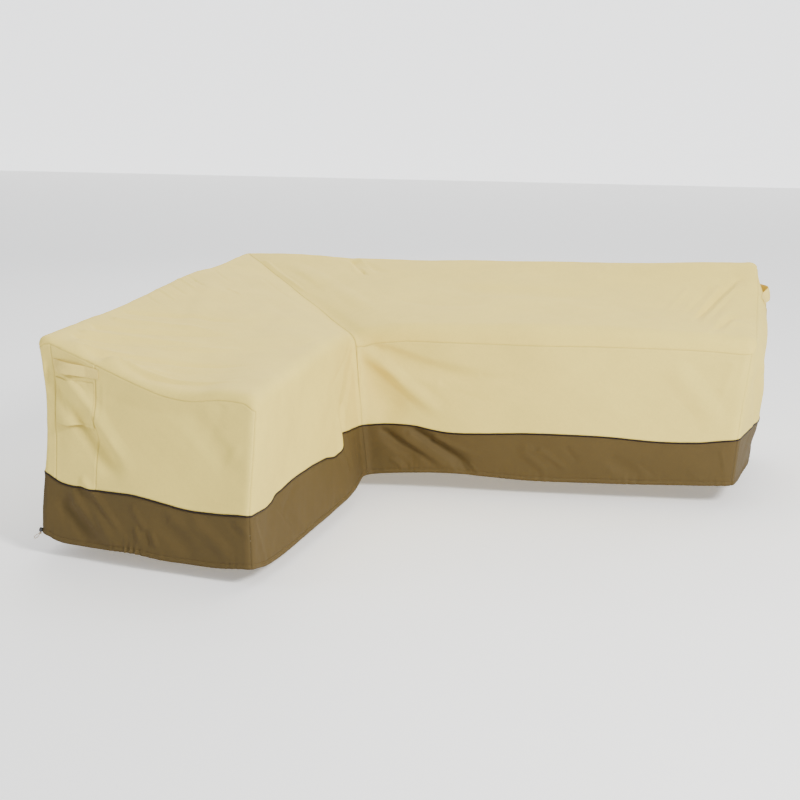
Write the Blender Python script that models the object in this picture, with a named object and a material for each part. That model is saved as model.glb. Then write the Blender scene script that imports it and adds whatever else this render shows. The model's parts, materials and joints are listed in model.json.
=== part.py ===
"""Fitted outdoor cover with an L-shaped plan, in the shape that it has when it is put on.

The cover is hollow.  Its cloth panels meet at sewn seams: two beige top panels that share the
mitre seam over the corner, beige side panels, a dark piping, and a brown skirt whose hem holds a
drawcord.  Both free ends carry a sewn-on handle and a hooded air vent.

The cloth is worked out on a plan with six corners.  A place on the walls is a pair (u, h): u runs
once round the plan, one unit for each wall, and h runs up the wall.  Lengths are metres, +Z is up,
and the plan has its outer back corner at x = y = 0 with the ground at z = 0.  The finished part
has its origin at the place under the long top where the cover is held up.
"""
import math
from collections import namedtuple

import bmesh
import bpy
import numpy as np
from mathutils import Vector

# ---------------------------------------------------------------- driving dimensions
CLOTH = 0.0015              # coated polyester with its turned seam allowance
SEAM_GAP = 0.00034          # between two cloths that are sewn together
PIECE_GAP = 0.0004          # between two pieces that touch
PIPING_DIAMETER = 0.0062
PIPING_SIDES = 6
PIPING_PROUD = 0.0010       # how far the piping's middle stands out from the cloth's middle
ROLL_INSET = 0.062          # the soft fold starts this far in from a top edge
STRIP_END = 0.247           # a vent strip goes from there to this distance from an outer corner
ROLL_LENGTH = 0.095         # of the soft fold, from there over the edge to the top seam
SHOULDER_H = 0.85           # share of the upper wall's height where its shoulder stands out most
WAIST_REACH = 0.150         # how far from a corner its drawn-in waist reaches
TOP_SAG = 0.010             # of the top between its edges
BOW_START = 0.45            # share of a wing's length where its top starts to bow like its end
SHOULDER_RISE = 4.0         # how sharply the shoulder starts below, and how softly it ends above
SHOULDER_FALL = 0.7
FOLD_START = 0.25           # shares of a fold's length over which it rises and runs out
FOLD_END = 0.30
CORNER_CALM = 0.035         # folds fade out this close to an upright corner,
RIM_CALM = 0.090            # to a top's edges
MITRE_CALM = 0.120          # and to the mitre
MOUNT = Vector((0.400, -0.450, 0.769))      # in the plan's frame; becomes the part's origin

# The six corners of the plan at three levels of the cloth.
Corner = namedtuple("Corner", "name level x y z")
CORNERS = (
    Corner("outer_back", "hem", 0.012, -0.014, 0.078),
    Corner("outer_back", "piping", 0.000, -0.004, 0.278),
    Corner("outer_back", "top", 0.000, 0.000, 0.868),
    Corner("left_outer", "hem", -0.295, -1.950, 0.086),
    Corner("left_outer", "piping", -0.281, -1.936, 0.322),
    Corner("left_outer", "top", -0.283, -1.938, 0.847),
    Corner("left_inner", "hem", 0.580, -2.172, 0.068),
    Corner("left_inner", "piping", 0.577, -2.176, 0.266),
    Corner("left_inner", "top", 0.610, -2.168, 0.702),
    Corner("inner", "hem", 0.748, -0.896, 0.066),
    Corner("inner", "piping", 0.724, -0.896, 0.280),
    Corner("inner", "top", 0.696, -0.896, 0.662),
    Corner("right_front", "hem", 2.280, -0.876, 0.088),
    Corner("right_front", "piping", 2.296, -0.886, 0.284),
    Corner("right_front", "top", 2.346, -0.896, 0.700),
    Corner("right_back", "hem", 2.348, -0.022, 0.088),
    Corner("right_back", "piping", 2.360, -0.006, 0.290),
    Corner("right_back", "top", 2.364, 0.002, 0.899),
)

# How wide each corner is rounded in plan, how far below the top edge its seam lies, and how far
# its upright edge stands out halfway up.
Rounding = namedtuple("Rounding", "name radius seam_drop waist")
ROUNDINGS = (
    Rounding("outer_back", 0.040, 0.050, 0.000),
    Rounding("left_outer", 0.032, 0.046, -0.018),
    Rounding("left_inner", 0.036, 0.056, 0.000),
    Rounding("inner", 0.050, 0.050, 0.000),
    Rounding("right_front", 0.046, 0.055, 0.000),
    Rounding("right_back", 0.028, 0.040, 0.010),
)

# A wall runs from one corner to the next.  Its top seam lies this far below the sharp top edge
# where the wall starts and ends, and sags by so much more halfway.  Its sections say how the
# cloth leaves the straight line between the corners: out (away from the inside) and up, at the
# hem, piping and top edge, how far it bellies out halfway up, and how far it shoulders out close
# under the top seam.  Its cells come in runs, each to a distance from the wall's start, or from
# its end where negative.
Section = namedtuple("Section", "along hem_out hem_up piping_out piping_up belly shoulder"
                     " top_out top_up")
CellRun = namedtuple("CellRun", "to count")
Wall = namedtuple("Wall", "name start end seam_start seam_end seam_sag cells sections")
WALLS = (
    Wall("outer_short", "outer_back", "left_outer", 0.050, 0.050, 0.000, (CellRun(-ROLL_INSET, 18),), (
        Section(0.30, -0.010, -0.012, -0.004, -0.008, -0.010, 0.000, -0.004, -0.003),
        Section(0.62, -0.018, 0.006, -0.010, 0.004, -0.016, 0.000, 0.004, 0.008),
        Section(1.00, -0.006, -0.014, 0.004, -0.012, 0.004, 0.000, 0.002, 0.000),
        Section(1.35, -0.020, 0.004, -0.008, 0.003, -0.012, 0.000, -0.004, -0.003),
        Section(1.70, 0.006, -0.012, 0.004, -0.016, 0.004, 0.000, 0.000, -0.001),
    )),
    Wall("left_end", "left_outer", "left_inner", 0.018, 0.038, 0.000,
         (CellRun(STRIP_END, 5), CellRun(0.440, 5), CellRun(-ROLL_INSET, 4)), (
        Section(0.09, 0.004, -0.020, 0.000, -0.028, -0.006, 0.000, -0.004, -0.010),
        Section(0.19, 0.004, -0.022, 0.002, -0.028, -0.010, 0.000, -0.008, -0.026),
        Section(0.28, 0.006, -0.020, 0.004, -0.024, -0.008, 0.000, -0.008, -0.040),
        Section(0.43, 0.008, -0.014, 0.008, -0.012, -0.004, 0.000, -0.006, -0.060),
        Section(0.54, 0.006, -0.021, 0.006, -0.018, -0.004, 0.000, -0.004, -0.069),
        Section(0.65, 0.002, -0.020, 0.002, -0.026, -0.006, 0.000, -0.002, -0.056),
        Section(0.77, 0.000, -0.016, 0.000, -0.018, -0.008, 0.000, 0.000, -0.018),
    )),
    Wall("inner_short", "left_inner", "inner", 0.050, 0.050, 0.000, (CellRun(-ROLL_INSET, 18),), (
        Section(0.10, 0.012, -0.014, -0.004, -0.010, 0.004, 0.000, 0.000, 0.002),
        Section(0.19, 0.020, -0.017, -0.008, -0.019, 0.002, 0.000, 0.000, 0.004),
        Section(0.30, 0.028, -0.013, -0.006, -0.002, 0.000, 0.000, -0.004, 0.006),
        Section(0.48, 0.034, -0.009, 0.000, 0.008, -0.004, 0.000, -0.010, 0.008),
        Section(0.62, 0.037, -0.008, 0.004, 0.003, -0.004, 0.000, -0.008, 0.016),
        Section(0.80, 0.039, -0.006, 0.006, -0.013, 0.000, 0.000, 0.000, 0.030),
        Section(0.96, 0.037, -0.005, 0.010, -0.027, 0.004, 0.000, 0.000, 0.034),
        Section(1.03, 0.032, -0.002, 0.004, 0.016, 0.002, 0.000, 0.000, 0.032),
        Section(1.14, 0.018, 0.004, 0.000, 0.014, 0.000, 0.000, 0.000, 0.024),
    )),
    Wall("long_front", "inner", "right_front", 0.055, 0.055, 0.022,
         (CellRun(0.530, 12), CellRun(-ROLL_INSET, 11)), (
        Section(0.07, 0.000, 0.006, 0.000, 0.006, -0.006, 0.000, 0.000, 0.020),
        Section(0.19, 0.002, 0.013, 0.000, 0.009, -0.010, 0.000, 0.002, 0.040),
        Section(0.40, 0.004, 0.017, 0.002, -0.018, -0.006, 0.000, 0.004, 0.047),
        Section(0.54, 0.002, 0.008, 0.002, -0.016, -0.004, 0.000, 0.004, 0.048),
        Section(0.74, 0.000, -0.005, 0.000, -0.008, -0.006, 0.000, 0.004, 0.046),
        Section(1.06, 0.000, -0.007, 0.000, -0.008, -0.006, 0.000, 0.002, 0.041),
        Section(1.33, 0.002, -0.005, 0.002, -0.020, -0.006, 0.000, 0.000, 0.029),
        Section(1.47, 0.004, -0.002, 0.004, -0.016, -0.006, 0.000, 0.000, 0.018),
    )),
    Wall("right_end", "right_front", "right_back", 0.018, 0.018, 0.000,
         (CellRun(-STRIP_END, 7), CellRun(-ROLL_INSET, 5)), (
        Section(0.10, 0.010, -0.004, 0.018, 0.002, 0.016, 0.020, -0.018, -0.010),
        Section(0.24, 0.024, -0.008, 0.044, 0.000, 0.024, 0.048, -0.036, -0.030),
        Section(0.41, 0.040, -0.006, 0.062, -0.004, 0.026, 0.062, -0.044, -0.052),
        Section(0.58, 0.034, 0.004, 0.044, 0.002, 0.028, 0.058, -0.036, -0.050),
        Section(0.72, 0.016, 0.000, 0.020, -0.004, 0.024, 0.042, -0.022, -0.032),
        Section(0.81, 0.006, -0.004, 0.008, -0.002, 0.012, 0.018, -0.010, -0.014),
    )),
    Wall("long_back", "right_back", "outer_back", 0.050, 0.050, 0.000, (CellRun(-ROLL_INSET, 23),), (
        Section(0.10, -0.004, -0.006, -0.004, -0.004, 0.004, 0.000, 0.000, -0.002),
        Section(0.40, -0.016, -0.014, -0.008, -0.012, -0.008, 0.000, 0.002, -0.010),
        Section(0.80, -0.004, 0.004, 0.004, 0.003, 0.004, 0.000, -0.002, -0.014),
        Section(1.15, -0.018, -0.012, -0.008, -0.010, -0.012, 0.000, 0.002, -0.017),
        Section(1.55, -0.006, 0.002, 0.004, 0.004, 0.002, 0.000, 0.000, -0.017),
        Section(1.86, -0.016, -0.012, -0.008, -0.010, -0.008, 0.000, 0.000, -0.016),
        Section(2.04, -0.010, -0.004, -0.002, -0.002, 0.000, 0.000, 0.000, -0.005),
    )),
)

# Folds on the walls: soft ridges (height above 0) and troughs (below 0) along a bent line that
# starts, bends and ends at the given places, each as a distance along the wall and a height.
Fold = namedtuple("Fold", "wall from_x from_z bend_x bend_z to_x to_z width height")
FOLDS = (
    Fold("left_end", 0.020, 0.790, 0.070, 0.620, 0.230, 0.520, 0.070, -0.012),
    Fold("left_end", 0.140, 0.600, 0.230, 0.490, 0.370, 0.310, 0.068, -0.017),
    Fold("left_end", 0.070, 0.740, 0.240, 0.560, 0.430, 0.330, 0.060, 0.011),
    Fold("left_end", 0.100, 0.270, 0.235, 0.190, 0.370, 0.070, 0.055, 0.015),
    Fold("left_end", 0.080, 0.250, 0.150, 0.180, 0.250, 0.070, 0.055, -0.013),
    Fold("left_end", 0.500, 0.230, 0.590, 0.170, 0.700, 0.070, 0.050, -0.007),
    Fold("left_end", 0.640, 0.240, 0.760, 0.180, 0.850, 0.080, 0.045, 0.008),
    Fold("left_end", 0.600, 0.640, 0.760, 0.520, 0.850, 0.380, 0.070, -0.006),
    Fold("inner_short", 0.930, 0.420, 0.985, 0.300, 0.990, 0.130, 0.045, 0.012),
    Fold("inner_short", 1.020, 0.480, 1.060, 0.300, 1.040, 0.120, 0.045, -0.012),
    Fold("inner_short", 0.250, 0.300, 0.330, 0.190, 0.420, 0.080, 0.050, -0.008),
    Fold("inner_short", 1.240, 0.610, 1.100, 0.480, 0.960, 0.300, 0.060, -0.006),
    Fold("long_front", 0.010, 0.635, 0.160, 0.534, 0.610, 0.484, 0.060, -0.012),
    Fold("long_front", 0.010, 0.600, 0.060, 0.420, 0.200, 0.290, 0.120, -0.018),
    Fold("long_front", 0.010, 0.625, 0.150, 0.500, 0.390, 0.330, 0.052, 0.008),
    Fold("long_front", 0.080, 0.265, 0.170, 0.200, 0.260, 0.120, 0.046, -0.010),
    Fold("long_front", 0.190, 0.285, 0.340, 0.200, 0.520, 0.085, 0.050, -0.014),
    Fold("long_front", 0.130, 0.270, 0.270, 0.210, 0.420, 0.100, 0.044, 0.009),
    Fold("long_front", 0.700, 0.225, 0.780, 0.170, 0.860, 0.090, 0.045, 0.007),
    Fold("long_front", 1.080, 0.190, 1.160, 0.160, 1.250, 0.095, 0.045, -0.006),
    Fold("long_front", 1.300, 0.600, 1.450, 0.480, 1.560, 0.330, 0.070, 0.008),
    Fold("right_end", 0.080, 0.640, 0.260, 0.500, 0.480, 0.320, 0.070, 0.014),
    Fold("right_end", 0.060, 0.560, 0.200, 0.420, 0.330, 0.250, 0.060, -0.010),
    Fold("right_end", 0.300, 0.260, 0.400, 0.190, 0.500, 0.090, 0.050, -0.009),
    Fold("right_end", 0.560, 0.270, 0.640, 0.180, 0.700, 0.080, 0.050, 0.009),
    Fold("long_back", 0.050, 0.780, 0.220, 0.560, 0.560, 0.330, 0.070, -0.012),
    Fold("long_back", 0.080, 0.800, 0.320, 0.600, 0.680, 0.380, 0.060, 0.008),
    Fold("long_back", 1.020, 0.620, 1.150, 0.400, 1.200, 0.120, 0.060, -0.009),
    Fold("long_back", 1.560, 0.280, 1.680, 0.190, 1.760, 0.080, 0.050, 0.009),
    Fold("long_back", 2.280, 0.790, 2.120, 0.560, 1.780, 0.320, 0.070, -0.012),
    Fold("long_back", 0.620, 0.270, 0.740, 0.190, 0.830, 0.080, 0.050, -0.009),
    Fold("outer_short", 0.050, 0.780, 0.220, 0.560, 0.520, 0.330, 0.070, -0.012),
    Fold("outer_short", 0.880, 0.600, 0.960, 0.400, 0.980, 0.130, 0.060, -0.009),
    Fold("outer_short", 1.890, 0.760, 1.740, 0.560, 1.450, 0.340, 0.070, -0.011),
    Fold("outer_short", 1.280, 0.270, 1.380, 0.180, 1.450, 0.080, 0.050, 0.009),
)

# Folds on the top: the same on a wing's top, from the mitre outwards, as a share of the wing's
# length and of its depth from the outer (back) edge to the inner (front) edge.
TopFold = namedtuple("TopFold", "wing from_g from_q bend_g bend_q to_g to_q width height")
TOP_FOLDS = (
    TopFold("short", 0.96, 0.10, 0.86, 0.30, 0.55, 0.62, 0.075, -0.007),
    TopFold("short", 0.97, 0.22, 0.90, 0.44, 0.74, 0.80, 0.060, 0.006),
    TopFold("short", 0.25, 0.12, 0.45, 0.34, 0.70, 0.40, 0.080, 0.006),
    TopFold("short", 0.10, 0.55, 0.35, 0.66, 0.62, 0.60, 0.080, -0.006),
    TopFold("long", 0.98, 0.06, 0.92, 0.40, 0.86, 0.84, 0.070, -0.010),
    TopFold("long", 0.99, 0.30, 0.96, 0.55, 0.91, 0.85, 0.050, 0.008),
    TopFold("long", 0.20, 0.03, 0.22, 0.14, 0.24, 0.28, 0.060, -0.007),
    TopFold("long", 0.05, 0.12, 0.10, 0.45, 0.10, 0.86, 0.090, 0.007),
    TopFold("long", 0.30, 0.45, 0.50, 0.52, 0.72, 0.46, 0.100, -0.008),
)

# Wings of the top, each between an outer wall, an inner wall and an end wall.
Wing = namedtuple("Wing", "name outer inner end mitre_is_outer_start")
LONG_WING = Wing("long", "long_back", "long_front", "right_end", False)
SHORT_WING = Wing("short", "outer_short", "inner_short", "left_end", True)

# Rows of cells on the upper walls, from the top seam down to the piping, as a share of that
# height: near the outer walls, at the vent strip's inner seam, and near the inner walls.
Row = namedtuple("Row", "name outer strip inner")
ROWS = (
    Row("top_seam", 0.0, 0.0, 0.0),
    Row("handle_top", 0.100, 0.028, 0.060),
    Row("handle_foot", 0.195, 0.110, 0.135),
    Row("vent_top", 0.240, 0.145, 0.230),
    Row("vent_upper", 0.360, 0.275, 0.340),
    Row("vent_lower", 0.470, 0.395, 0.450),
    Row("vent_lip", 0.575, 0.510, 0.560),
    Row("upper_belly", 0.720, 0.670, 0.700),
    Row("lower_belly", 0.860, 0.840, 0.850),
    Row("piping", 1.0, 1.0, 1.0),
)
SKIRT_ROWS = (0.0, 0.32, 0.66, 1.0)
ZONE_STEPS = 3              # cells between a mid-corner and the start of the straight wall
NEAR_CELL = 0.1             # a sewn-on piece drops the cell lines that are closer to its edges
TINY = 1e-6                 # places closer than this are one

# Sewn-on pieces of the two ends; distances run inwards from the outer corner of the end.
WEBBING = 0.0030            # padded handle
SEWN_CLEARANCE = 0.0009     # between a sewn-on piece and the cloth that it lies on
HANDLE_START = 0.067
HANDLE_END = 0.262
HANDLE_STEPS = 3            # of the handle along each of the panel's cells
PIECE_STEPS = 2             # of a sewn-on piece down each of them, and of a vent along each
BULGE_FULLNESS = 1.2        # 1 is a plain half wave; more draws in the bulge's ends
SEWN_START = 0.014          # of the handle, sewn down at its outer end
SEWN_END = 0.056            # and under the stitched box at its inner end
VENT_SIDE_MARGIN = 0.004
FLAP_FULLNESS = 0.8
FLAP_FLARE = 1.3            # the flap stands out more and more towards its lip
FACET_SHARE = 0.15          # of a cell's twist, what finer facets over it may cut into
EndPieces = namedtuple("EndPieces", "side wall handle_bulge vent_bulge")
END_PIECES = (
    EndPieces("left", "left_end", 0.0115, 0.0130),
    EndPieces("right", "right_end", 0.0270, 0.0300),
)

# The drawcord comes out of the hem at the left outer corner, through a cord lock and a knot.
LOCK_U = 0.996              # plan place and height share of the lock on the skirt
LOCK_H = 0.05
LOCK_TILT = 0.35            # how far the lock's axis leans out from straight down
LOCK_REST = 0.5             # share of that lean that the skirt under it takes away again
LOCK_SHAPE = (              # along the lock from its middle and radius, as shares of half its sizes
    (-1.0, 0.0), (-1.0, 0.62), (-0.8, 0.9), (-0.4, 1.0),
    (0.4, 1.0), (0.8, 0.9), (1.0, 0.62), (1.0, 0.0),
)
LOCK_SIDES = 14
KNOT_SIDES = 12
KNOT_RINGS = 8
LOCK_DIAMETER = 0.0150
LOCK_LENGTH = 0.0170
LOCK_SEAT = 0.00175         # moved in, as the skirt's corner rounds away behind the lock
KNOT_DIAMETER = 0.0100
CORD_DIAMETER = 0.0024
LOOP_SPACING = 0.0032
LOOP_WAY = Vector((-0.740, -0.125, -0.661))     # the loop hangs out and down from its knot
LOOP_SIDE = Vector((-0.652, -0.110, 0.750))
LOOP_ROUTE = (              # distance along and aside from the middle of the knot
    (0.0051, -0.0016), (0.0100, -0.0030), (0.0150, -0.0042), (0.0200, -0.0047),
    (0.0250, -0.0044), (0.0288, -0.0028), (0.0302, 0.0000), (0.0288, 0.0028),
    (0.0250, 0.0044), (0.0200, 0.0047), (0.0150, 0.0042), (0.0100, 0.0030), (0.0051, 0.0016),
)

CLOTH_SHARP = 50.0          # degrees; steeper edges are shaded sharp
TURNED_SHARP = 40.0
CLOTH_ROUGHNESS = 0.85
PIPING_ROUGHNESS = 0.60
CORD_ROUGHNESS = 0.80
PLASTIC_ROUGHNESS = 0.40
BEIGE = (0.72, 0.63, 0.38)
BROWN = (0.25, 0.17, 0.08)
DARK_BROWN = (0.045, 0.024, 0.018)
TAN_CORD = (0.36, 0.24, 0.12)
BLACK = (0.012, 0.012, 0.014)

WALL_NAMES = [wall.name for wall in WALLS]
WALL_COUNT = len(WALLS)


# ---------------------------------------------------------------- tables to curves
def corner(name, level):
    """The place of a sharp corner at one level."""
    for row in CORNERS:
        if row.name == name and row.level == level:
            return np.array((row.x, row.y, row.z))
    raise KeyError((name, level))


def rounding(name):
    return next(row for row in ROUNDINGS if row.name == name)


def wall_length(k):
    """Length of wall k at its top edge."""
    ends = corner(WALLS[k].end, "top") - corner(WALLS[k].start, "top")
    return float(np.hypot(ends[0], ends[1]))


def outward(k):
    """Level direction that faces outwards on wall k."""
    ends = corner(WALLS[k].end, "top") - corner(WALLS[k].start, "top")
    direction = np.array((ends[1], -ends[0], 0.0))
    return direction / np.linalg.norm(direction)


LENGTHS = [wall_length(k) for k in range(WALL_COUNT)]
OUTWARD = [outward(k) for k in range(WALL_COUNT)]


def smoothstep(x):
    x = np.clip(x, 0.0, 1.0)
    return x * x * (3.0 - 2.0 * x)


def section_value(k, f, column):
    """Smooth curve through one column of a wall's sections, zero at both corners."""
    rows = WALLS[k].sections
    xs = np.array([0.0] + [row.along / LENGTHS[k] for row in rows] + [1.0])
    ys = np.array([0.0] + [getattr(row, column) for row in rows] + [0.0])
    slopes = np.gradient(ys, xs)
    slopes[0] = slopes[-1] = 0.0
    cell = np.clip(np.searchsorted(xs, f, side="right") - 1, 0, len(xs) - 2)
    span = xs[cell + 1] - xs[cell]
    t = np.clip((f - xs[cell]) / span, 0.0, 1.0)
    start = (2 * t**3 - 3 * t**2 + 1) * ys[cell] + (t**3 - 2 * t**2 + t) * span * slopes[cell]
    end = (-2 * t**3 + 3 * t**2) * ys[cell + 1] + (t**3 - t**2) * span * slopes[cell + 1]
    return start + end


def edge(k, f, level):
    """Places on wall k at one level, with sharp corners, for an array of shares f."""
    f = np.atleast_1d(np.asarray(f, float))
    start = corner(WALLS[k].start, level)
    end = corner(WALLS[k].end, level)
    line = start + (end - start) * f[:, None]
    out = section_value(k, f, level + "_out")
    up = section_value(k, f, level + "_up")
    return line + OUTWARD[k] * out[:, None] + np.array((0.0, 0.0, 1.0)) * up[:, None]


def split(u):
    """Wall numbers and shares along them for an array of plan places u."""
    u = np.mod(np.atleast_1d(np.asarray(u, float)), WALL_COUNT)
    k = np.minimum(np.floor(u + 1e-9).astype(int), WALL_COUNT - 1)
    return k, u - k


def ring(u, level):
    """The rounded line round the plan at one level."""
    walls, shares = split(u)
    places = np.zeros((len(shares), 3))
    for k in range(WALL_COUNT):
        on_wall = walls == k
        if not on_wall.any():
            continue
        f = shares[on_wall]
        here = edge(k, f, level)
        for at_start in (True, False):
            name = WALLS[k].start if at_start else WALLS[k].end
            other = (k - 1) % WALL_COUNT if at_start else (k + 1) % WALL_COUNT
            radius = rounding(name).radius
            distance = (f if at_start else 1.0 - f) * LENGTHS[k]
            near = distance < radius
            own_share = radius / LENGTHS[k]
            other_share = radius / LENGTHS[other]
            own = edge(k, own_share if at_start else 1.0 - own_share, level)
            across = edge(other, 1.0 - other_share if at_start else other_share, level)
            sharp = corner(name, level)
            t = (0.5 + 0.5 * distance / radius)[:, None]
            bend = (1 - t) ** 2 * across + 2 * t * (1 - t) * sharp + t**2 * own
            here = np.where(near[:, None], bend, here)
        places[on_wall] = here
    return places


def facing(u):
    """Level outward directions, turning smoothly round each corner."""
    walls, shares = split(u)
    result = np.zeros((len(shares), 3))
    for k in range(WALL_COUNT):
        on_wall = walls == k
        if not on_wall.any():
            continue
        f = shares[on_wall]
        direction = np.repeat(OUTWARD[k][None, :], len(f), axis=0)
        for at_start in (True, False):
            name = WALLS[k].start if at_start else WALLS[k].end
            other = (k - 1) % WALL_COUNT if at_start else (k + 1) % WALL_COUNT
            distance = (f if at_start else 1.0 - f) * LENGTHS[k]
            t = np.clip(distance / rounding(name).radius, 0.0, 1.0)[:, None]
            middle = OUTWARD[k] + OUTWARD[other]
            middle = middle / np.linalg.norm(middle)
            direction = direction * t + middle * (1.0 - t)
        result[on_wall] = direction / np.linalg.norm(direction, axis=1)[:, None]
    return result


def near_line(x, y, fold_start, fold_bend, fold_end):
    """Distance from (x, y) to a bent line, and how far along it the nearest place is."""
    t = np.linspace(0.0, 1.0, 13)[:, None]
    line = ((1 - t) ** 2 * np.array(fold_start) + 2 * t * (1 - t) * np.array(fold_bend)
            + t**2 * np.array(fold_end))
    best = np.full(x.shape, 1e9)
    where = np.zeros(x.shape)
    for n in range(len(line) - 1):
        step = line[n + 1] - line[n]
        along = ((x - line[n, 0]) * step[0] + (y - line[n, 1]) * step[1]) / (step @ step)
        along = np.clip(along, 0.0, 1.0)
        gap = np.hypot(x - line[n, 0] - along * step[0], y - line[n, 1] - along * step[1])
        closer = gap < best
        best = np.where(closer, gap, best)
        where = np.where(closer, (n + along) / (len(line) - 1), where)
    return best, where


def fold_height(x, y, fold_start, fold_bend, fold_end, width, height):
    """Height of one fold: rounded across, fading in and out at its ends."""
    distance, along = near_line(x, y, fold_start, fold_bend, fold_end)
    across = np.clip(1.0 - (distance / width) ** 2, 0.0, None) ** 2
    return height * across * smoothstep(along / FOLD_START) * smoothstep((1.0 - along) / FOLD_END)


def wall_folds(u, z):
    """Total fold height at plan places u and heights z."""
    walls, shares = split(u)
    total = np.zeros(len(shares))
    for fold in FOLDS:
        k = WALL_NAMES.index(fold.wall)
        on_wall = walls == k
        if not on_wall.any():
            continue
        x = shares[on_wall] * LENGTHS[k]
        shape = fold_height(x, z[on_wall], (fold.from_x, fold.from_z), (fold.bend_x, fold.bend_z),
                            (fold.to_x, fold.to_z), fold.width, fold.height)
        from_corner = np.minimum(x, LENGTHS[k] - x)
        total[on_wall] += shape * smoothstep(from_corner / CORNER_CALM)
    return total


# ---------------------------------------------------------------- places on the cloth
def fullness(u):
    """How far the upper wall bellies and shoulders out at plan places u."""
    walls, shares = split(u)
    belly = np.zeros(len(shares))
    shoulder = np.zeros(len(shares))
    for k in range(WALL_COUNT):
        on_wall = walls == k
        if not on_wall.any():
            continue
        f = shares[on_wall]
        bulge = section_value(k, f, "belly")
        for name, distance in ((WALLS[k].start, f), (WALLS[k].end, 1.0 - f)):
            bulge = bulge + rounding(name).waist * (1.0 - smoothstep(distance * LENGTHS[k]
                                                                     / WAIST_REACH))
        belly[on_wall] = bulge
        shoulder[on_wall] = section_value(k, f, "shoulder")
    return belly, shoulder


def upper_place(u, h):
    """Upper wall: h is 0 at the piping and 1 at the sharp top edge."""
    low = ring(u, "piping")
    high = ring(u, "top")
    h = np.broadcast_to(np.asarray(h, float), (len(low),))
    place = low + (high - low) * h[:, None]
    belly, shoulder = fullness(u)
    rise = (h / SHOULDER_H) ** SHOULDER_RISE
    fall = (np.clip(1.0 - h, 0.0, 1.0) / (1.0 - SHOULDER_H)) ** SHOULDER_FALL
    hump = 4.0 * h * (1.0 - h)      # 0 at both seams and 1 halfway
    out = belly * hump + shoulder * rise * fall + wall_folds(u, place[:, 2])
    return place + facing(u) * out[:, None]


def skirt_place(u, h):
    """Skirt: h is 0 at the hem and 1 at the piping."""
    low = ring(u, "hem")
    high = ring(u, "piping")
    h = np.broadcast_to(np.asarray(h, float), (len(low),))
    place = low + (high - low) * h[:, None]
    return place + facing(u) * wall_folds(u, place[:, 2])[:, None]


def seam_drop(u):
    """How far below the sharp top edge the top seam lies."""
    walls, shares = split(u)
    result = np.zeros(len(shares))
    for k in range(WALL_COUNT):
        on_wall = walls == k
        if not on_wall.any():
            continue
        f = shares[on_wall]
        drop = (WALLS[k].seam_start * (1.0 - f) + WALLS[k].seam_end * f
                + WALLS[k].seam_sag * np.sin(np.pi * f))
        for at_start in (True, False):
            name = WALLS[k].start if at_start else WALLS[k].end
            distance = (f if at_start else 1.0 - f) * LENGTHS[k]
            share = smoothstep(distance / ROLL_INSET)
            drop = rounding(name).seam_drop * (1.0 - share) + drop * share
        result[on_wall] = drop
    return result


def seam_h(u):
    """The top seam as a share h of the upper wall."""
    height = ring(u, "top")[:, 2] - ring(u, "piping")[:, 2]
    return 1.0 - seam_drop(u) / height


def wing_edges(wing):
    return WALL_NAMES.index(wing.outer), WALL_NAMES.index(wing.inner), WALL_NAMES.index(wing.end)


def outer_share(wing, g):
    return g if wing.mitre_is_outer_start else 1.0 - g


def inner_share(wing, g):
    return 1.0 - g if wing.mitre_is_outer_start else g


def end_share(wing, q):
    return q if wing.mitre_is_outer_start else 1.0 - q


def top_folds(wing, g, q):
    """Fold height on a wing's top, faded out towards its edges."""
    length = LENGTHS[wing_edges(wing)[0]]
    depth = LENGTHS[wing_edges(wing)[2]]
    total = np.zeros(len(g))
    for fold in TOP_FOLDS:
        if fold.wing != wing.name:
            continue
        total += fold_height(g * length, q * depth,
                             (fold.from_g * length, fold.from_q * depth),
                             (fold.bend_g * length, fold.bend_q * depth),
                             (fold.to_g * length, fold.to_q * depth), fold.width, fold.height)
    rim = np.minimum(np.minimum(q, 1.0 - q) * depth, (1.0 - g) * length)
    return total * smoothstep(rim / RIM_CALM) * smoothstep(g * length / MITRE_CALM)


def top_place(wing, g_outer, g_inner, q):
    """Top of a wing: g runs from the mitre to the end, q from the outer to the inner edge."""
    g_outer, g_inner, q = (np.atleast_1d(np.asarray(a, float)) for a in (g_outer, g_inner, q))
    outer_wall, inner_wall, end_wall = wing_edges(wing)
    across_top = q[:, None]
    outer = edge(outer_wall, outer_share(wing, g_outer), "top")
    inner = edge(inner_wall, inner_share(wing, g_inner), "top")
    place = outer * (1.0 - across_top) + inner * across_top
    g = g_outer * (1.0 - q) + g_inner * q
    end_outer = edge(end_wall, end_share(wing, 0.0), "top")
    end_inner = edge(end_wall, end_share(wing, 1.0), "top")
    end_line = end_outer * (1.0 - across_top) + end_inner * across_top
    end_bow = edge(end_wall, end_share(wing, q), "top") - end_line
    place += end_bow * smoothstep((g - BOW_START) / (1.0 - BOW_START))[:, None]
    place[:, 2] -= TOP_SAG * np.sin(np.pi * q) * np.sin(np.pi * np.clip(g, 0.0, 1.0))
    place[:, 2] += top_folds(wing, g, q)
    return place


def inset_share(wing, g_outer, g_inner):
    """ROLL_INSET as a share of the wing's depth at g."""
    outer_wall, inner_wall, _ = wing_edges(wing)
    outer = edge(outer_wall, outer_share(wing, g_outer), "top")
    inner = edge(inner_wall, inner_share(wing, g_inner), "top")
    return ROLL_INSET / np.linalg.norm(outer - inner, axis=1)


def wing_of_wall(k):
    for wing in (LONG_WING, SHORT_WING):
        if k in wing_edges(wing):
            return wing
    raise KeyError(k)


def wing_shares(wing):
    """Shares g of the outer and inner walls' cells, from the mitre to the end."""
    outer_wall, inner_wall, _ = wing_edges(wing)
    return (np.sort(outer_share(wing, wall_stations(outer_wall))),
            np.sort(inner_share(wing, wall_stations(inner_wall))))


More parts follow.
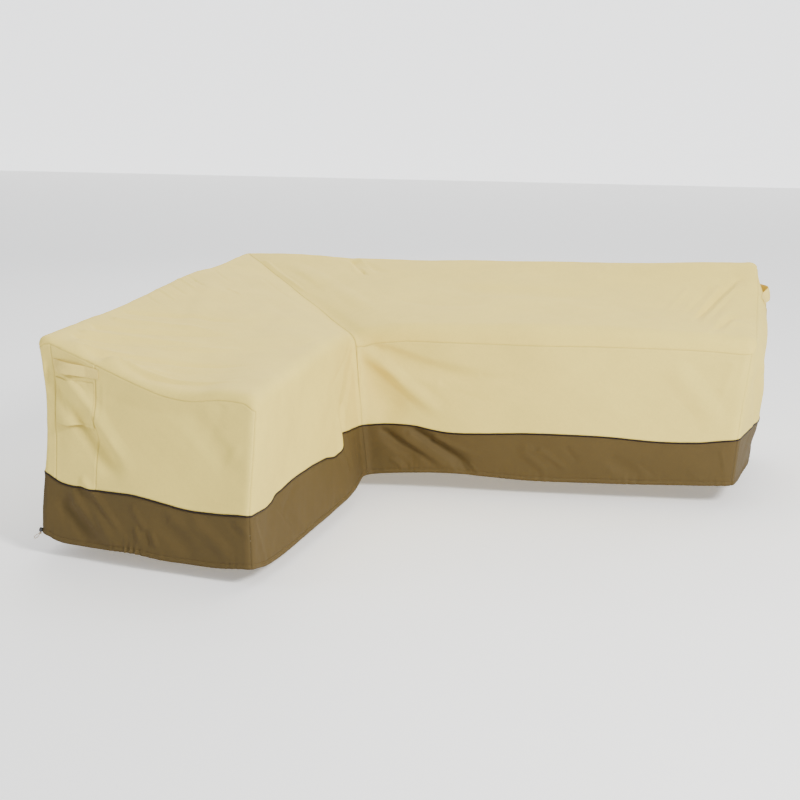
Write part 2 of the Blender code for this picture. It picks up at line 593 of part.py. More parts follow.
def wing_partner(wing, g, given_outer):
    """The other edge's g for a place on one edge: both have the same number of cells."""
    outer_shares, inner_shares = wing_shares(wing)
    if given_outer:
        return np.interp(g, outer_shares, inner_shares)
    return np.interp(g, inner_shares, outer_shares)


def inset_place(u):
    """Where the soft fold of the top edge starts on the top, for plan places u."""
    walls, shares = split(u)
    places = np.zeros((len(shares), 3))
    for k in range(WALL_COUNT):
        on_wall = walls == k
        if not on_wall.any():
            continue
        wing = wing_of_wall(k)
        outer_wall, inner_wall, end_wall = wing_edges(wing)
        f = shares[on_wall]
        last_outer = 1.0 - ROLL_INSET / LENGTHS[outer_wall]
        last_inner = 1.0 - ROLL_INSET / LENGTHS[inner_wall]
        if k == end_wall:
            g_outer = np.full(len(f), last_outer)
            g_inner = np.full(len(f), last_inner)
            q_in = inset_share(wing, g_outer, g_inner)
            zone = ROLL_INSET / LENGTHS[end_wall]
            q = end_share(wing, f)
            q = q_in + (1.0 - 2.0 * q_in) * np.clip((q - zone) / (1.0 - 2.0 * zone), 0.0, 1.0)
        elif k == outer_wall:
            g_outer = np.minimum(outer_share(wing, f), last_outer)
            g_inner = wing_partner(wing, g_outer, True)
            q = inset_share(wing, g_outer, g_inner)
        else:
            g_inner = np.minimum(inner_share(wing, f), last_inner)
            g_outer = wing_partner(wing, g_inner, False)
            q = 1.0 - inset_share(wing, g_outer, g_inner)
        places[on_wall] = top_place(wing, g_outer, g_inner, q)
    return places


def roll_place(u, m):
    """The soft fold over the top edge: m is 0 on the top and 1 at the top seam."""
    m = np.broadcast_to(np.asarray(m, float), (len(np.atleast_1d(u)),))[:, None]
    start = inset_place(u)
    crest = ring(u, "top")
    seam = upper_place(u, seam_h(u))
    return (1 - m) ** 2 * start + 2 * m * (1 - m) * crest + m**2 * seam


def row_h(u, share):
    """Upper wall's h at a share of the way from the top seam down to the piping."""
    return seam_h(u) * (1.0 - share)


def row_share(u, row):
    """A row's share at plan places u, between its outer, strip and inner values."""
    walls, shares = split(u)
    result = np.zeros(len(shares))
    for k in range(WALL_COUNT):
        on_wall = walls == k
        if not on_wall.any():
            continue
        name = WALLS[k].name
        if name in ("outer_short", "long_back"):
            result[on_wall] = row.outer
        elif name in ("inner_short", "long_front"):
            result[on_wall] = row.inner
        else:
            f = shares[on_wall]
            from_outer = (f if name == "left_end" else 1.0 - f) * LENGTHS[k]
            knots = (ROLL_INSET, STRIP_END, LENGTHS[k] - ROLL_INSET)
            result[on_wall] = np.interp(from_outer, knots, (row.outer, row.strip, row.inner))
    return result


# ---------------------------------------------------------------- directions across the cloth
STEP = 1e-3                 # of plan places and shares
SLOPE_STEP = 4e-3           # of plan places, for the piping's slope
MITRE_STEP = 2e-3           # beside the mitre, where the two wings' directions are averaged
SEAM_BLEND = 0.8            # on the soft fold, from here on its directions turn to the wall's


def across(place_at, a, b, a_low=None, a_high=None, b_low=None, b_high=None):
    """Outward directions of a surface place_at(a, b), from small steps both ways."""
    a = np.atleast_1d(np.asarray(a, float))
    b = np.broadcast_to(np.asarray(b, float), a.shape)
    a0, a1, b0, b1 = a - STEP, a + STEP, b - STEP, b + STEP
    if a_low is not None:
        a0, a1 = np.maximum(a0, a_low), np.minimum(a1, a_high)
    if b_low is not None:
        b0, b1 = np.maximum(b0, b_low), np.minimum(b1, b_high)
    direction = np.cross(place_at(a1, b) - place_at(a0, b), place_at(a, b1) - place_at(a, b0))
    return direction / np.linalg.norm(direction, axis=1)[:, None]


def upper_spot(u, h):
    return upper_place(u, h), across(upper_place, u, h)


def skirt_spot(u, h):
    return skirt_place(u, h), across(skirt_place, u, h)


def roll_spot(u, m):
    """Place and direction on the soft fold; at its seam it takes the wall's direction."""
    u = np.atleast_1d(np.asarray(u, float))
    m = np.broadcast_to(np.asarray(m, float), u.shape)
    direction = across(roll_place, u, m, b_low=0.0, b_high=1.0)
    direction[:] *= np.where(direction[:, 2] + 2.0 * np.sum(direction * facing(u), axis=1) < 0,
                             -1.0, 1.0)[:, None]
    wall_direction = across(upper_place, u, seam_h(u))
    share = smoothstep((m - SEAM_BLEND) / (1.0 - SEAM_BLEND))[:, None]
    direction = direction * (1.0 - share) + wall_direction * share
    return roll_place(u, m), direction / np.linalg.norm(direction, axis=1)[:, None]


def top_spot(wing, g_outer, g_inner, q):
    """Place and upward direction on a wing's top; both wings agree on the mitre."""
    def shifted(g, q_share):
        g_in = wing_partner(wing, g, True)
        return top_place(wing, g, g_in, q_share)
    g_outer, g_inner, q = (np.atleast_1d(np.asarray(a, float)) for a in (g_outer, g_inner, q))
    direction = across(shifted, g_outer, q, a_low=0.0, a_high=1.0, b_low=0.0, b_high=1.0)
    direction[:] *= np.where(direction[:, 2] < 0, -1.0, 1.0)[:, None]
    return top_place(wing, g_outer, g_inner, q), direction


# ---------------------------------------------------------------- stations round the plan
def zone_shares(k, at_start):
    steps = np.arange(ZONE_STEPS) / ZONE_STEPS * ROLL_INSET / LENGTHS[k]
    return steps if at_start else 1.0 - steps[::-1]


def wall_stations(k):
    """Shares along wall k where the cloth's cells begin and end."""
    places = [ROLL_INSET]
    for run in WALLS[k].cells:
        to = run.to if run.to > 0.0 else LENGTHS[k] + run.to
        places.extend(np.linspace(places[-1], to, run.count + 1)[1:])
    return np.concatenate((zone_shares(k, True), np.array(places) / LENGTHS[k],
                           zone_shares(k, False)))


def stations(start_u, end_u):
    """All plan places from start_u to end_u where cells begin, each once."""
    places = np.concatenate([k + wall_stations(k) for k in range(WALL_COUNT)])
    places = np.unique(np.round(places, 9))
    inside = places[(places > start_u + TINY) & (places < end_u - TINY)]
    return np.concatenate(((start_u,), inside, (end_u,)))


def seam_margin(places, metres):
    """Move the first and last place inwards by a length measured along their walls."""
    result = np.array(places, float)
    first = LENGTHS[int(np.floor(result[0] + TINY)) % WALL_COUNT]
    last = LENGTHS[int(np.floor(result[-1] - TINY)) % WALL_COUNT]
    result[0] += metres / first
    result[-1] -= metres / last
    return result


# ---------------------------------------------------------------- making the solids
def clear_scene():
    for item in list(bpy.data.objects):
        bpy.data.objects.remove(item, do_unlink=True)


def material(name, colour, roughness):
    paint = bpy.data.materials.new(name)
    paint.use_nodes = True
    shader = paint.node_tree.nodes["Principled BSDF"]
    shader.inputs["Base Color"].default_value = (*colour, 1.0)
    shader.inputs["Roughness"].default_value = roughness
    shader.inputs["Metallic"].default_value = 0.0
    return paint


def add_object(name, mesh, paint, collection):
    item = bpy.data.objects.new(name, mesh)
    mesh.materials.append(paint)
    collection.objects.link(item)
    return item


def cloth_sheet(name, outer, inner, paint, collection):
    """A grid laid on the outer places and thickened to the inner places, as one closed body."""
    columns, rows = outer.shape[0] - 1, outer.shape[1] - 1
    sheet = bmesh.new()
    bmesh.ops.create_grid(sheet, x_segments=columns, y_segments=rows, size=0.5)
    front = set(sheet.verts)
    bmesh.ops.extrude_face_region(sheet, geom=sheet.faces[:], use_keep_orig=True)
    origin = np.array(MOUNT)
    for vert in sheet.verts:
        i = round((vert.co.x + 0.5) * columns)
        j = round((vert.co.y + 0.5) * rows)
        vert.co = (outer if vert in front else inner)[i, j] - origin
    bmesh.ops.recalc_face_normals(sheet, faces=sheet.faces[:])
    if sheet.calc_volume(signed=True) < 0.0:
        bmesh.ops.reverse_faces(sheet, faces=sheet.faces[:])
    mesh = bpy.data.meshes.new(name)
    sheet.to_mesh(mesh)
    sheet.free()
    mesh.shade_smooth()
    mesh.set_sharp_from_angle(angle=math.radians(CLOTH_SHARP))
    return add_object(name, mesh, paint, collection)


def panel_grid(start_u, end_u, spot, heights):
    """Outer places and directions of a panel between two upright seams."""
    u = seam_margin(stations(start_u, end_u), SEAM_GAP / 2)
    rows = heights(u)
    outer = np.zeros((len(u), len(rows), 3))
    direction = np.zeros_like(outer)
    for j, h in enumerate(rows):
        outer[:, j], direction[:, j] = spot(u, h)
    return outer, direction


def piping_clearance(u, height):
    """Share of a wall's height that the piping takes above or below its middle line."""
    ahead = ring(u + SLOPE_STEP, "piping")
    behind = ring(u - SLOPE_STEP, "piping")
    rise = ahead - behind
    slope = rise[:, 2] / np.hypot(rise[:, 0], rise[:, 1])
    reach = (PIPING_DIAMETER / 2 + PIECE_GAP) * np.sqrt(1.0 + slope**2)
    return reach / height


def upper_height(u):
    return ring(u, "top")[:, 2] - ring(u, "piping")[:, 2]


def upper_rows(u):
    """Rows of an upper wall panel, from the top seam down to the piping."""
    rows = [row_h(u, row_share(u, row)) for row in ROWS]
    rows[0] = rows[0] - SEAM_GAP / 2 / upper_height(u)
    rows[-1] = rows[-1] + piping_clearance(u, upper_height(u))
    return rows


def skirt_rows(u):
    """Rows of a skirt panel, from the hem up to the piping."""
    height = ring(u, "piping")[:, 2] - ring(u, "hem")[:, 2]
    rows = [np.full(len(u), h) for h in SKIRT_ROWS]
    rows[-1] = rows[-1] - piping_clearance(u, height)
    return rows


def mitre_directions(q):
    """Upward directions that both wings share on the mitre seam."""
    beside = np.full(len(q), MITRE_STEP)
    total = sum(top_spot(wing, beside, beside, q)[1] for wing in (LONG_WING, SHORT_WING))
    return total / np.linalg.norm(total, axis=1)[:, None]


def top_grid(wing, runs_down):
    """Outer places and directions of a wing's top and its soft folds over three edges.

    Columns go from the mitre to the seam over the end, rows from the seam over the outer edge to
    the seam over the inner edge.  A top that runs down covers its inner wall to the piping too.
    """
    outer_wall, inner_wall, end_wall = wing_edges(wing)
    g_outer, g_inner = (shares[:-ZONE_STEPS] for shares in wing_shares(wing))
    straight = len(g_outer) - 1
    g_outer[0] = SEAM_GAP / 2 / LENGTHS[outer_wall]
    g_inner[0] = SEAM_GAP / 2 / LENGTHS[inner_wall]
    q_end = np.sort(end_share(wing, wall_stations(end_wall)))[ZONE_STEPS:-ZONE_STEPS]
    zone = ROLL_INSET / LENGTHS[end_wall]
    q_steps = (q_end - zone) / (1.0 - 2.0 * zone)
    depth = len(q_steps) - 1
    lower = len(ROWS) - 1 if runs_down else 0
    columns, rows = straight + ZONE_STEPS + 1, depth + 2 * ZONE_STEPS + lower + 1
    outer = np.zeros((columns, rows, 3))
    direction = np.zeros_like(outer)
    seam_m = 1.0 - SEAM_GAP / 2 / ROLL_LENGTH

    # the flat of the top, a column at a time
    for i in range(straight + 1):
        at_outer, at_inner = g_outer[i:i + 1], g_inner[i:i + 1]
        q_in = inset_share(wing, at_outer, at_inner)
        q = q_in + (1.0 - 2.0 * q_in) * q_steps
        at_outer, at_inner = np.repeat(at_outer, len(q)), np.repeat(at_inner, len(q))
        place, up = top_spot(wing, at_outer, at_inner, q)
        flat = slice(ZONE_STEPS, ZONE_STEPS + depth + 1)
        outer[i, flat] = place
        direction[i, flat] = mitre_directions(q) if i == 0 else up

    # the soft folds over the edges: plan place u and how far over the fold m for each corner
    fold_cells, fold_u, fold_m = [], [], []
    for i in range(columns):
        past_end = max(0, i - straight)
        for step in range(-ZONE_STEPS, depth + ZONE_STEPS + 1):
            past_side = max(0, -step, step - depth)
            reach = max(past_end, past_side)
            if reach == 0:
                continue
            at_outer_side = step < depth / 2
            if past_side >= past_end:
                k = outer_wall if at_outer_side else inner_wall
                g = (g_outer if at_outer_side else g_inner)[min(i, straight)]
                if past_end > 0:
                    g = 1.0 - ROLL_INSET * (1.0 - past_end / past_side) / LENGTHS[k]
                u = k + (outer_share if at_outer_side else inner_share)(wing, g)
                sewn = at_outer_side or not runs_down
            else:
                q = q_end[min(max(step, 0), depth)]
                if past_side > 0:
                    inside = ROLL_INSET * (1.0 - past_side / past_end) / LENGTHS[end_wall]
                    q = inside if at_outer_side else 1.0 - inside
                u = end_wall + end_share(wing, q)
                sewn = True
            at_seam = reach == ZONE_STEPS and sewn
            fold_cells.append((i, step + ZONE_STEPS))
            fold_u.append(u)
            fold_m.append(seam_m if at_seam else reach / ZONE_STEPS)
    place, out = roll_spot(np.array(fold_u), np.array(fold_m))
    for (i, j), spot_place, spot_out in zip(fold_cells, place, out):
        outer[i, j], direction[i, j] = spot_place, spot_out

    # the inner wall under the fold, down to the piping
    if runs_down:
        zone_g = 1.0 - ROLL_INSET / LENGTHS[inner_wall] * (1.0 - np.arange(1, ZONE_STEPS + 1)
                                                           / ZONE_STEPS)
        zone_g[-1] -= SEAM_GAP / 2 / LENGTHS[inner_wall]
        u = inner_wall + inner_share(wing, np.concatenate((g_inner, zone_g)))
        first = depth + 2 * ZONE_STEPS
        outer[-1, first], direction[-1, first] = (a[0] for a in upper_spot(u[-1:], seam_h(u[-1:])))
        for n, h in enumerate(upper_rows(u)):
            if n > 0:
                outer[:, first + n], direction[:, first + n] = upper_spot(u, h)
    return outer, direction


def bead(name, middle_line, directions, diameter, sides, paint, collection):
    """A closed ring of constant section round the plan, at cell corners."""
    count = len(middle_line)
    ahead = np.roll(middle_line, -1, axis=0) - np.roll(middle_line, 1, axis=0)
    ahead /= np.linalg.norm(ahead, axis=1)[:, None]
    side = directions - ahead * np.sum(directions * ahead, axis=1)[:, None]
    side /= np.linalg.norm(side, axis=1)[:, None]
    upward = np.cross(side, ahead)
    mesh_builder = bmesh.new()
    bmesh.ops.create_grid(mesh_builder, x_segments=count, y_segments=sides, size=0.5)
    origin = np.array(MOUNT)
    for vert in mesh_builder.verts:
        i = round((vert.co.x + 0.5) * count) % count
        angle = 2.0 * math.pi * ((vert.co.y + 0.5) % 1.0)
        offset = (side[i] * math.cos(angle) + upward[i] * math.sin(angle)) * diameter / 2
        vert.co = middle_line[i] + offset - origin
    bmesh.ops.remove_doubles(mesh_builder, verts=mesh_builder.verts[:], dist=TINY)
    bmesh.ops.recalc_face_normals(mesh_builder, faces=mesh_builder.faces[:])
    mesh = bpy.data.meshes.new(name)
    mesh_builder.to_mesh(mesh)
    mesh_builder.free()
    mesh.shade_smooth()
    return add_object(name, mesh, paint, collection)


def cell_steps(first, last, per_cell):
    """Cell numbers from first to last, with a step at every whole cell and at parts of it."""
    steps = np.arange(math.ceil(first * per_cell), math.floor(last * per_cell) + 1) / per_cell
    near = NEAR_CELL / per_cell
    inside = steps[(steps > first + near) & (steps < last - near)]
    return np.concatenate(((first,), inside, (last,)))


def lying_on(grid, out, columns, rows):
    """Places and directions just clear of a panel's cells, at whole and part cell numbers.

    Each cell is two flat facets, so over a twisted cell the place is lifted by what they can
    stand above the cell's smooth surface.
    """
    i = np.clip(np.floor(columns).astype(int), 0, grid.shape[0] - 2)
    j = np.clip(np.floor(rows).astype(int), 0, grid.shape[1] - 2)
    s = (columns - i)[:, None]
    t = (rows - j)[None, :]

    def blend(values):
        low = values[i][:, j] * (1 - s[..., None]) + values[i + 1][:, j] * s[..., None]
        high = values[i][:, j + 1] * (1 - s[..., None]) + values[i + 1][:, j + 1] * s[..., None]
        return low * (1 - t[..., None]) + high * t[..., None]

    way_out = blend(out)
    way_out /= np.linalg.norm(way_out, axis=2)[..., None]
    twist = grid[i][:, j] + grid[i + 1][:, j + 1] - grid[i + 1][:, j] - grid[i][:, j + 1]
    twist = np.abs(np.sum(twist * way_out, axis=2))
    one_way = np.minimum(s, t) * (1 - np.maximum(s, t))
    other_way = np.minimum(s * t, (1 - s) * (1 - t))
    lift = SEWN_CLEARANCE + twist * (np.maximum(one_way, other_way) + FACET_SHARE)
    return blend(grid) + way_out * lift[..., None], way_out


def end_base(end_piece, strip, main_panel):
    """The strip and the panel beside it as one grid, from the outer side inwards."""
    joined = []
    for part_grid, panel_part in zip(strip, main_panel):
        if end_piece.side == "left":
            joined.append(np.concatenate((part_grid, panel_part[1:])))
        else:
            joined.append(np.concatenate((panel_part[:-1], part_grid))[::-1])
    k = WALL_NAMES.index(end_piece.wall)
    from_outer = np.sort(end_share(SHORT_WING if end_piece.side == "left" else LONG_WING,
                                   wall_stations(k))) * LENGTHS[k]
    return joined[0], joined[1], from_outer[ZONE_STEPS:]


def row_number(name):
    return next(n for n, row in enumerate(ROWS) if row.name == name)


def air_vent(end_piece, base, paint, collection):
    """A hooded flap, sewn at its top and both sides and open at its lower lip."""
    grid, out, from_outer = base
    first = np.interp(ROLL_INSET + VENT_SIDE_MARGIN, from_outer, np.arange(len(from_outer)))
    last = np.interp(STRIP_END - VENT_SIDE_MARGIN, from_outer, np.arange(len(from_outer)))
    top, lip = row_number("vent_top"), row_number("vent_lip")
    columns = cell_steps(first, last, PIECE_STEPS)
    rows = cell_steps(top, lip, PIECE_STEPS)
    lying, way_out = lying_on(grid, out, columns, rows)
    half_wave = np.sin(np.pi * (columns - first) / (last - first)).clip(0.0, 1.0)
    across_flap = half_wave**FLAP_FULLNESS
    down_flap = ((rows - top) / (lip - top)) ** FLAP_FLARE
    lift = end_piece.vent_bulge * across_flap[:, None] * down_flap[None, :]
    inner = lying + way_out * lift[:, :, None]
    name = "air_vent_" + end_piece.side
    return cloth_sheet(name, inner + way_out * CLOTH, inner, paint, collection)


def handle(end_piece, base, paint, collection):
    """A padded strip, sewn flat at both ends, with room for a hand behind its middle."""
    grid, out, from_outer = base
    ends = np.interp((HANDLE_START, HANDLE_END), from_outer, np.arange(len(from_outer)))
    columns = cell_steps(*ends, HANDLE_STEPS)
    metres = np.interp(columns, np.arange(len(from_outer)), from_outer)
    rows = cell_steps(row_number("handle_top"), row_number("handle_foot"), PIECE_STEPS)
    lying, way_out = lying_on(grid, out, columns, rows)
    free = (metres - HANDLE_START - SEWN_START) / (HANDLE_END - HANDLE_START - SEWN_START
                                                   - SEWN_END)
    lift = end_piece.handle_bulge * np.sin(np.pi * np.clip(free, 0.0, 1.0)) ** BULGE_FULLNESS
    inner = lying + way_out * lift[:, None, None]
    name = "handle_" + end_piece.side
    return cloth_sheet(name, inner + way_out * WEBBING, inner, paint, collection)


def turned_piece(name, middle, axis, profile, sides, paint, collection):
    """A solid turned about an axis; profile rows are (distance along the axis, radius)."""
    solid = bmesh.new()
    start = solid.verts.new((0.0, 0.0, profile[0][0]))
    chain = [start]
    for along, radius in profile[1:-1]:
        chain.append(solid.verts.new((radius, 0.0, along)))
    chain.append(solid.verts.new((0.0, 0.0, profile[-1][0])))
    edges = [solid.edges.new(pair) for pair in zip(chain, chain[1:])]
    bmesh.ops.spin(solid, geom=chain + edges, axis=(0, 0, 1), cent=(0, 0, 0),
                   angle=2 * math.pi, steps=sides, use_merge=True)
    bmesh.ops.remove_doubles(solid, verts=solid.verts[:], dist=TINY)
    turn = Vector((0, 0, 1)).rotation_difference(axis).to_matrix().to_4x4()
    bmesh.ops.transform(solid, matrix=turn, verts=solid.verts[:])
    bmesh.ops.translate(solid, vec=middle - MOUNT, verts=solid.verts[:])
    bmesh.ops.recalc_face_normals(solid, faces=solid.faces[:])
    mesh = bpy.data.meshes.new(name)
    solid.to_mesh(mesh)
    solid.free()
    mesh.shade_smooth()
    mesh.set_sharp_from_angle(angle=math.radians(TURNED_SHARP))
    return add_object(name, mesh, paint, collection)


def smooth_route(route, spacing):
    """Points about a spacing apart on a smooth curve through the route's own points."""
    rows = [2 * route[0] - route[1], *route, 2 * route[-1] - route[-2]]
    dense = []
    for before, start, end, after in zip(rows, rows[1:], rows[2:], rows[3:]):
        for t in np.linspace(0.0, 1.0, 16, endpoint=False):
            dense.append(0.5 * (2 * start + (end - before) * t
                                + (2 * before - 5 * start + 4 * end - after) * t**2
                                + (3 * start - before - 3 * end + after) * t**3))
    dense.append(route[-1])
    dense = np.array(dense)
    length = np.concatenate(((0.0,), np.cumsum(np.linalg.norm(np.diff(dense, axis=0), axis=1))))
    wanted = np.linspace(0.0, length[-1], max(2, round(length[-1] / spacing)) + 1)
    return np.stack([np.interp(wanted, length, dense[:, n]) for n in range(3)], axis=1)


def cord_tube(name, points, diameter, paint, collection):
    curve = bpy.data.curves.new(name, "CURVE")
    curve.dimensions = "3D"
    curve.bevel_depth = diameter / 2
    curve.bevel_resolution = 2
    curve.use_fill_caps = True
    spline = curve.splines.new("POLY")
    spline.points.add(len(points) - 1)
    for target, point in zip(spline.points, points):
        target.co = (*(Vector(point) - MOUNT), 1.0)
    item = bpy.data.objects.new(name, curve)
    curve.materials.append(paint)
    collection.objects.link(item)
    return item


def cord_end(black, tan, collection):
    """Cord lock against the hem's corner, the knot under it, and the drawcord's free loop."""
    hem_place, hem_out = (Vector(a[0]) for a in skirt_spot(np.array((LOCK_U,)), LOCK_H))
    down = (Vector((0, 0, -1)) + hem_out * LOCK_TILT)
    lock_axis = (down - hem_out * down.dot(hem_out) * LOCK_REST).normalized()
    lean = abs(lock_axis.dot(hem_out)) * LOCK_LENGTH / 2
    lock_middle = hem_place + hem_out * (LOCK_DIAMETER / 2 + lean + PIECE_GAP - LOCK_SEAT)
    half, rim = LOCK_LENGTH / 2, LOCK_DIAMETER / 2
    lock_profile = [(half * along, rim * radius) for along, radius in LOCK_SHAPE]
    turned_piece("cord_lock", lock_middle, lock_axis, lock_profile, LOCK_SIDES, black, collection)
    ball = KNOT_DIAMETER / 2
    knot_middle = lock_middle + lock_axis * (half + ball + PIECE_GAP)
    knot_profile = [(-ball * math.cos(a), ball * math.sin(a))
                    for a in np.linspace(0.0, math.pi, KNOT_RINGS)]
    turned_piece("cord_knot", knot_middle, lock_axis, knot_profile, KNOT_SIDES, tan, collection)
    route = [knot_middle + LOOP_WAY * along + LOOP_SIDE * aside for along, aside in LOOP_ROUTE]
    points = smooth_route([np.array(point) for point in route], LOOP_SPACING)
    cord_tube("drawcord_loop", points, CORD_DIAMETER, tan, collection)


def main():
    clear_scene()
    collection = bpy.data.collections.new("outdoor_sofa_cover")
    bpy.context.scene.collection.children.link(collection)
    beige_top = material("beige_top_cloth", BEIGE, CLOTH_ROUGHNESS)
    beige_side = material("beige_side_cloth", BEIGE, CLOTH_ROUGHNESS)
    brown = material("brown_skirt_cloth", BROWN, CLOTH_ROUGHNESS)
    dark = material("dark_piping", DARK_BROWN, PIPING_ROUGHNESS)
    tan = material("tan_cord", TAN_CORD, CORD_ROUGHNESS)
    black = material("black_plastic", BLACK, PLASTIC_ROUGHNESS)

    for wing, name, runs_down in ((LONG_WING, "top_long", False), (SHORT_WING, "top_short", True)):
        outer, direction = top_grid(wing, runs_down)
        cloth_sheet(name, outer, outer - direction * CLOTH, beige_top, collection)

    left_end, right_end = (WALL_NAMES.index(end.wall) for end in END_PIECES)
    left_strip = left_end + np.array((ROLL_INSET, STRIP_END)) / LENGTHS[left_end]
    right_strip = right_end + 1.0 - np.array((STRIP_END, ROLL_INSET)) / LENGTHS[right_end]
    upper_panels = {
        "panel_outer_short": (0.0, left_strip[0]),
        "strip_left": tuple(left_strip),
        "panel_end_left": (left_strip[1], 2.0),
        "panel_long_front": (3.0, 4.0),
        "panel_end_right": (4.0, right_strip[0]),
        "strip_right": tuple(right_strip),
        "panel_long_back": (right_strip[1], 6.0),
    }
    grids = {}
    for name, (start_u, end_u) in upper_panels.items():
        outer, direction = panel_grid(start_u, end_u, upper_spot, upper_rows)
        grids[name] = outer, direction
        cloth_sheet(name, outer, outer - direction * CLOTH, beige_side, collection)
    for k, wall in enumerate(WALLS):
        outer, direction = panel_grid(k, k + 1.0, skirt_spot, skirt_rows)
        cloth_sheet("skirt_" + wall.name, outer, outer - direction * CLOTH, brown, collection)

    u = stations(0.0, float(WALL_COUNT))[:-1]
    middle_line = ring(u, "piping")
    out = wall_folds(u, middle_line[:, 2]) - CLOTH / 2 + PIPING_PROUD
    middle_line = middle_line + facing(u) * out[:, None]
    bead("piping", middle_line, facing(u), PIPING_DIAMETER, PIPING_SIDES, dark, collection)

    for end_piece in END_PIECES:
        base = end_base(end_piece, grids["strip_" + end_piece.side],
                        grids["panel_end_" + end_piece.side])
        air_vent(end_piece, base, beige_side, collection)
        handle(end_piece, base, beige_top, collection)
    cord_end(black, tan, collection)


main()
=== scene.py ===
"""Looks of the outdoor sofa cover: its cloths with their creases, seams and weave, and its cord.

The cloths follow the part's own shape, worked out again here on much finer cells from the same
tables, and then get what is too fine for the solids: short creases, gathers along the hem,
puckers and grooves along the seams.  A place on the walls is a pair (u, h): u runs once round the
plan, one unit for each wall, and h runs up the wall.  Lengths are metres and +Z is up; the plan
has its outer back corner at x = y = 0 with the ground at z = 0, and the row's origin is at ORIGIN.
"""
import json
import math
from collections import namedtuple

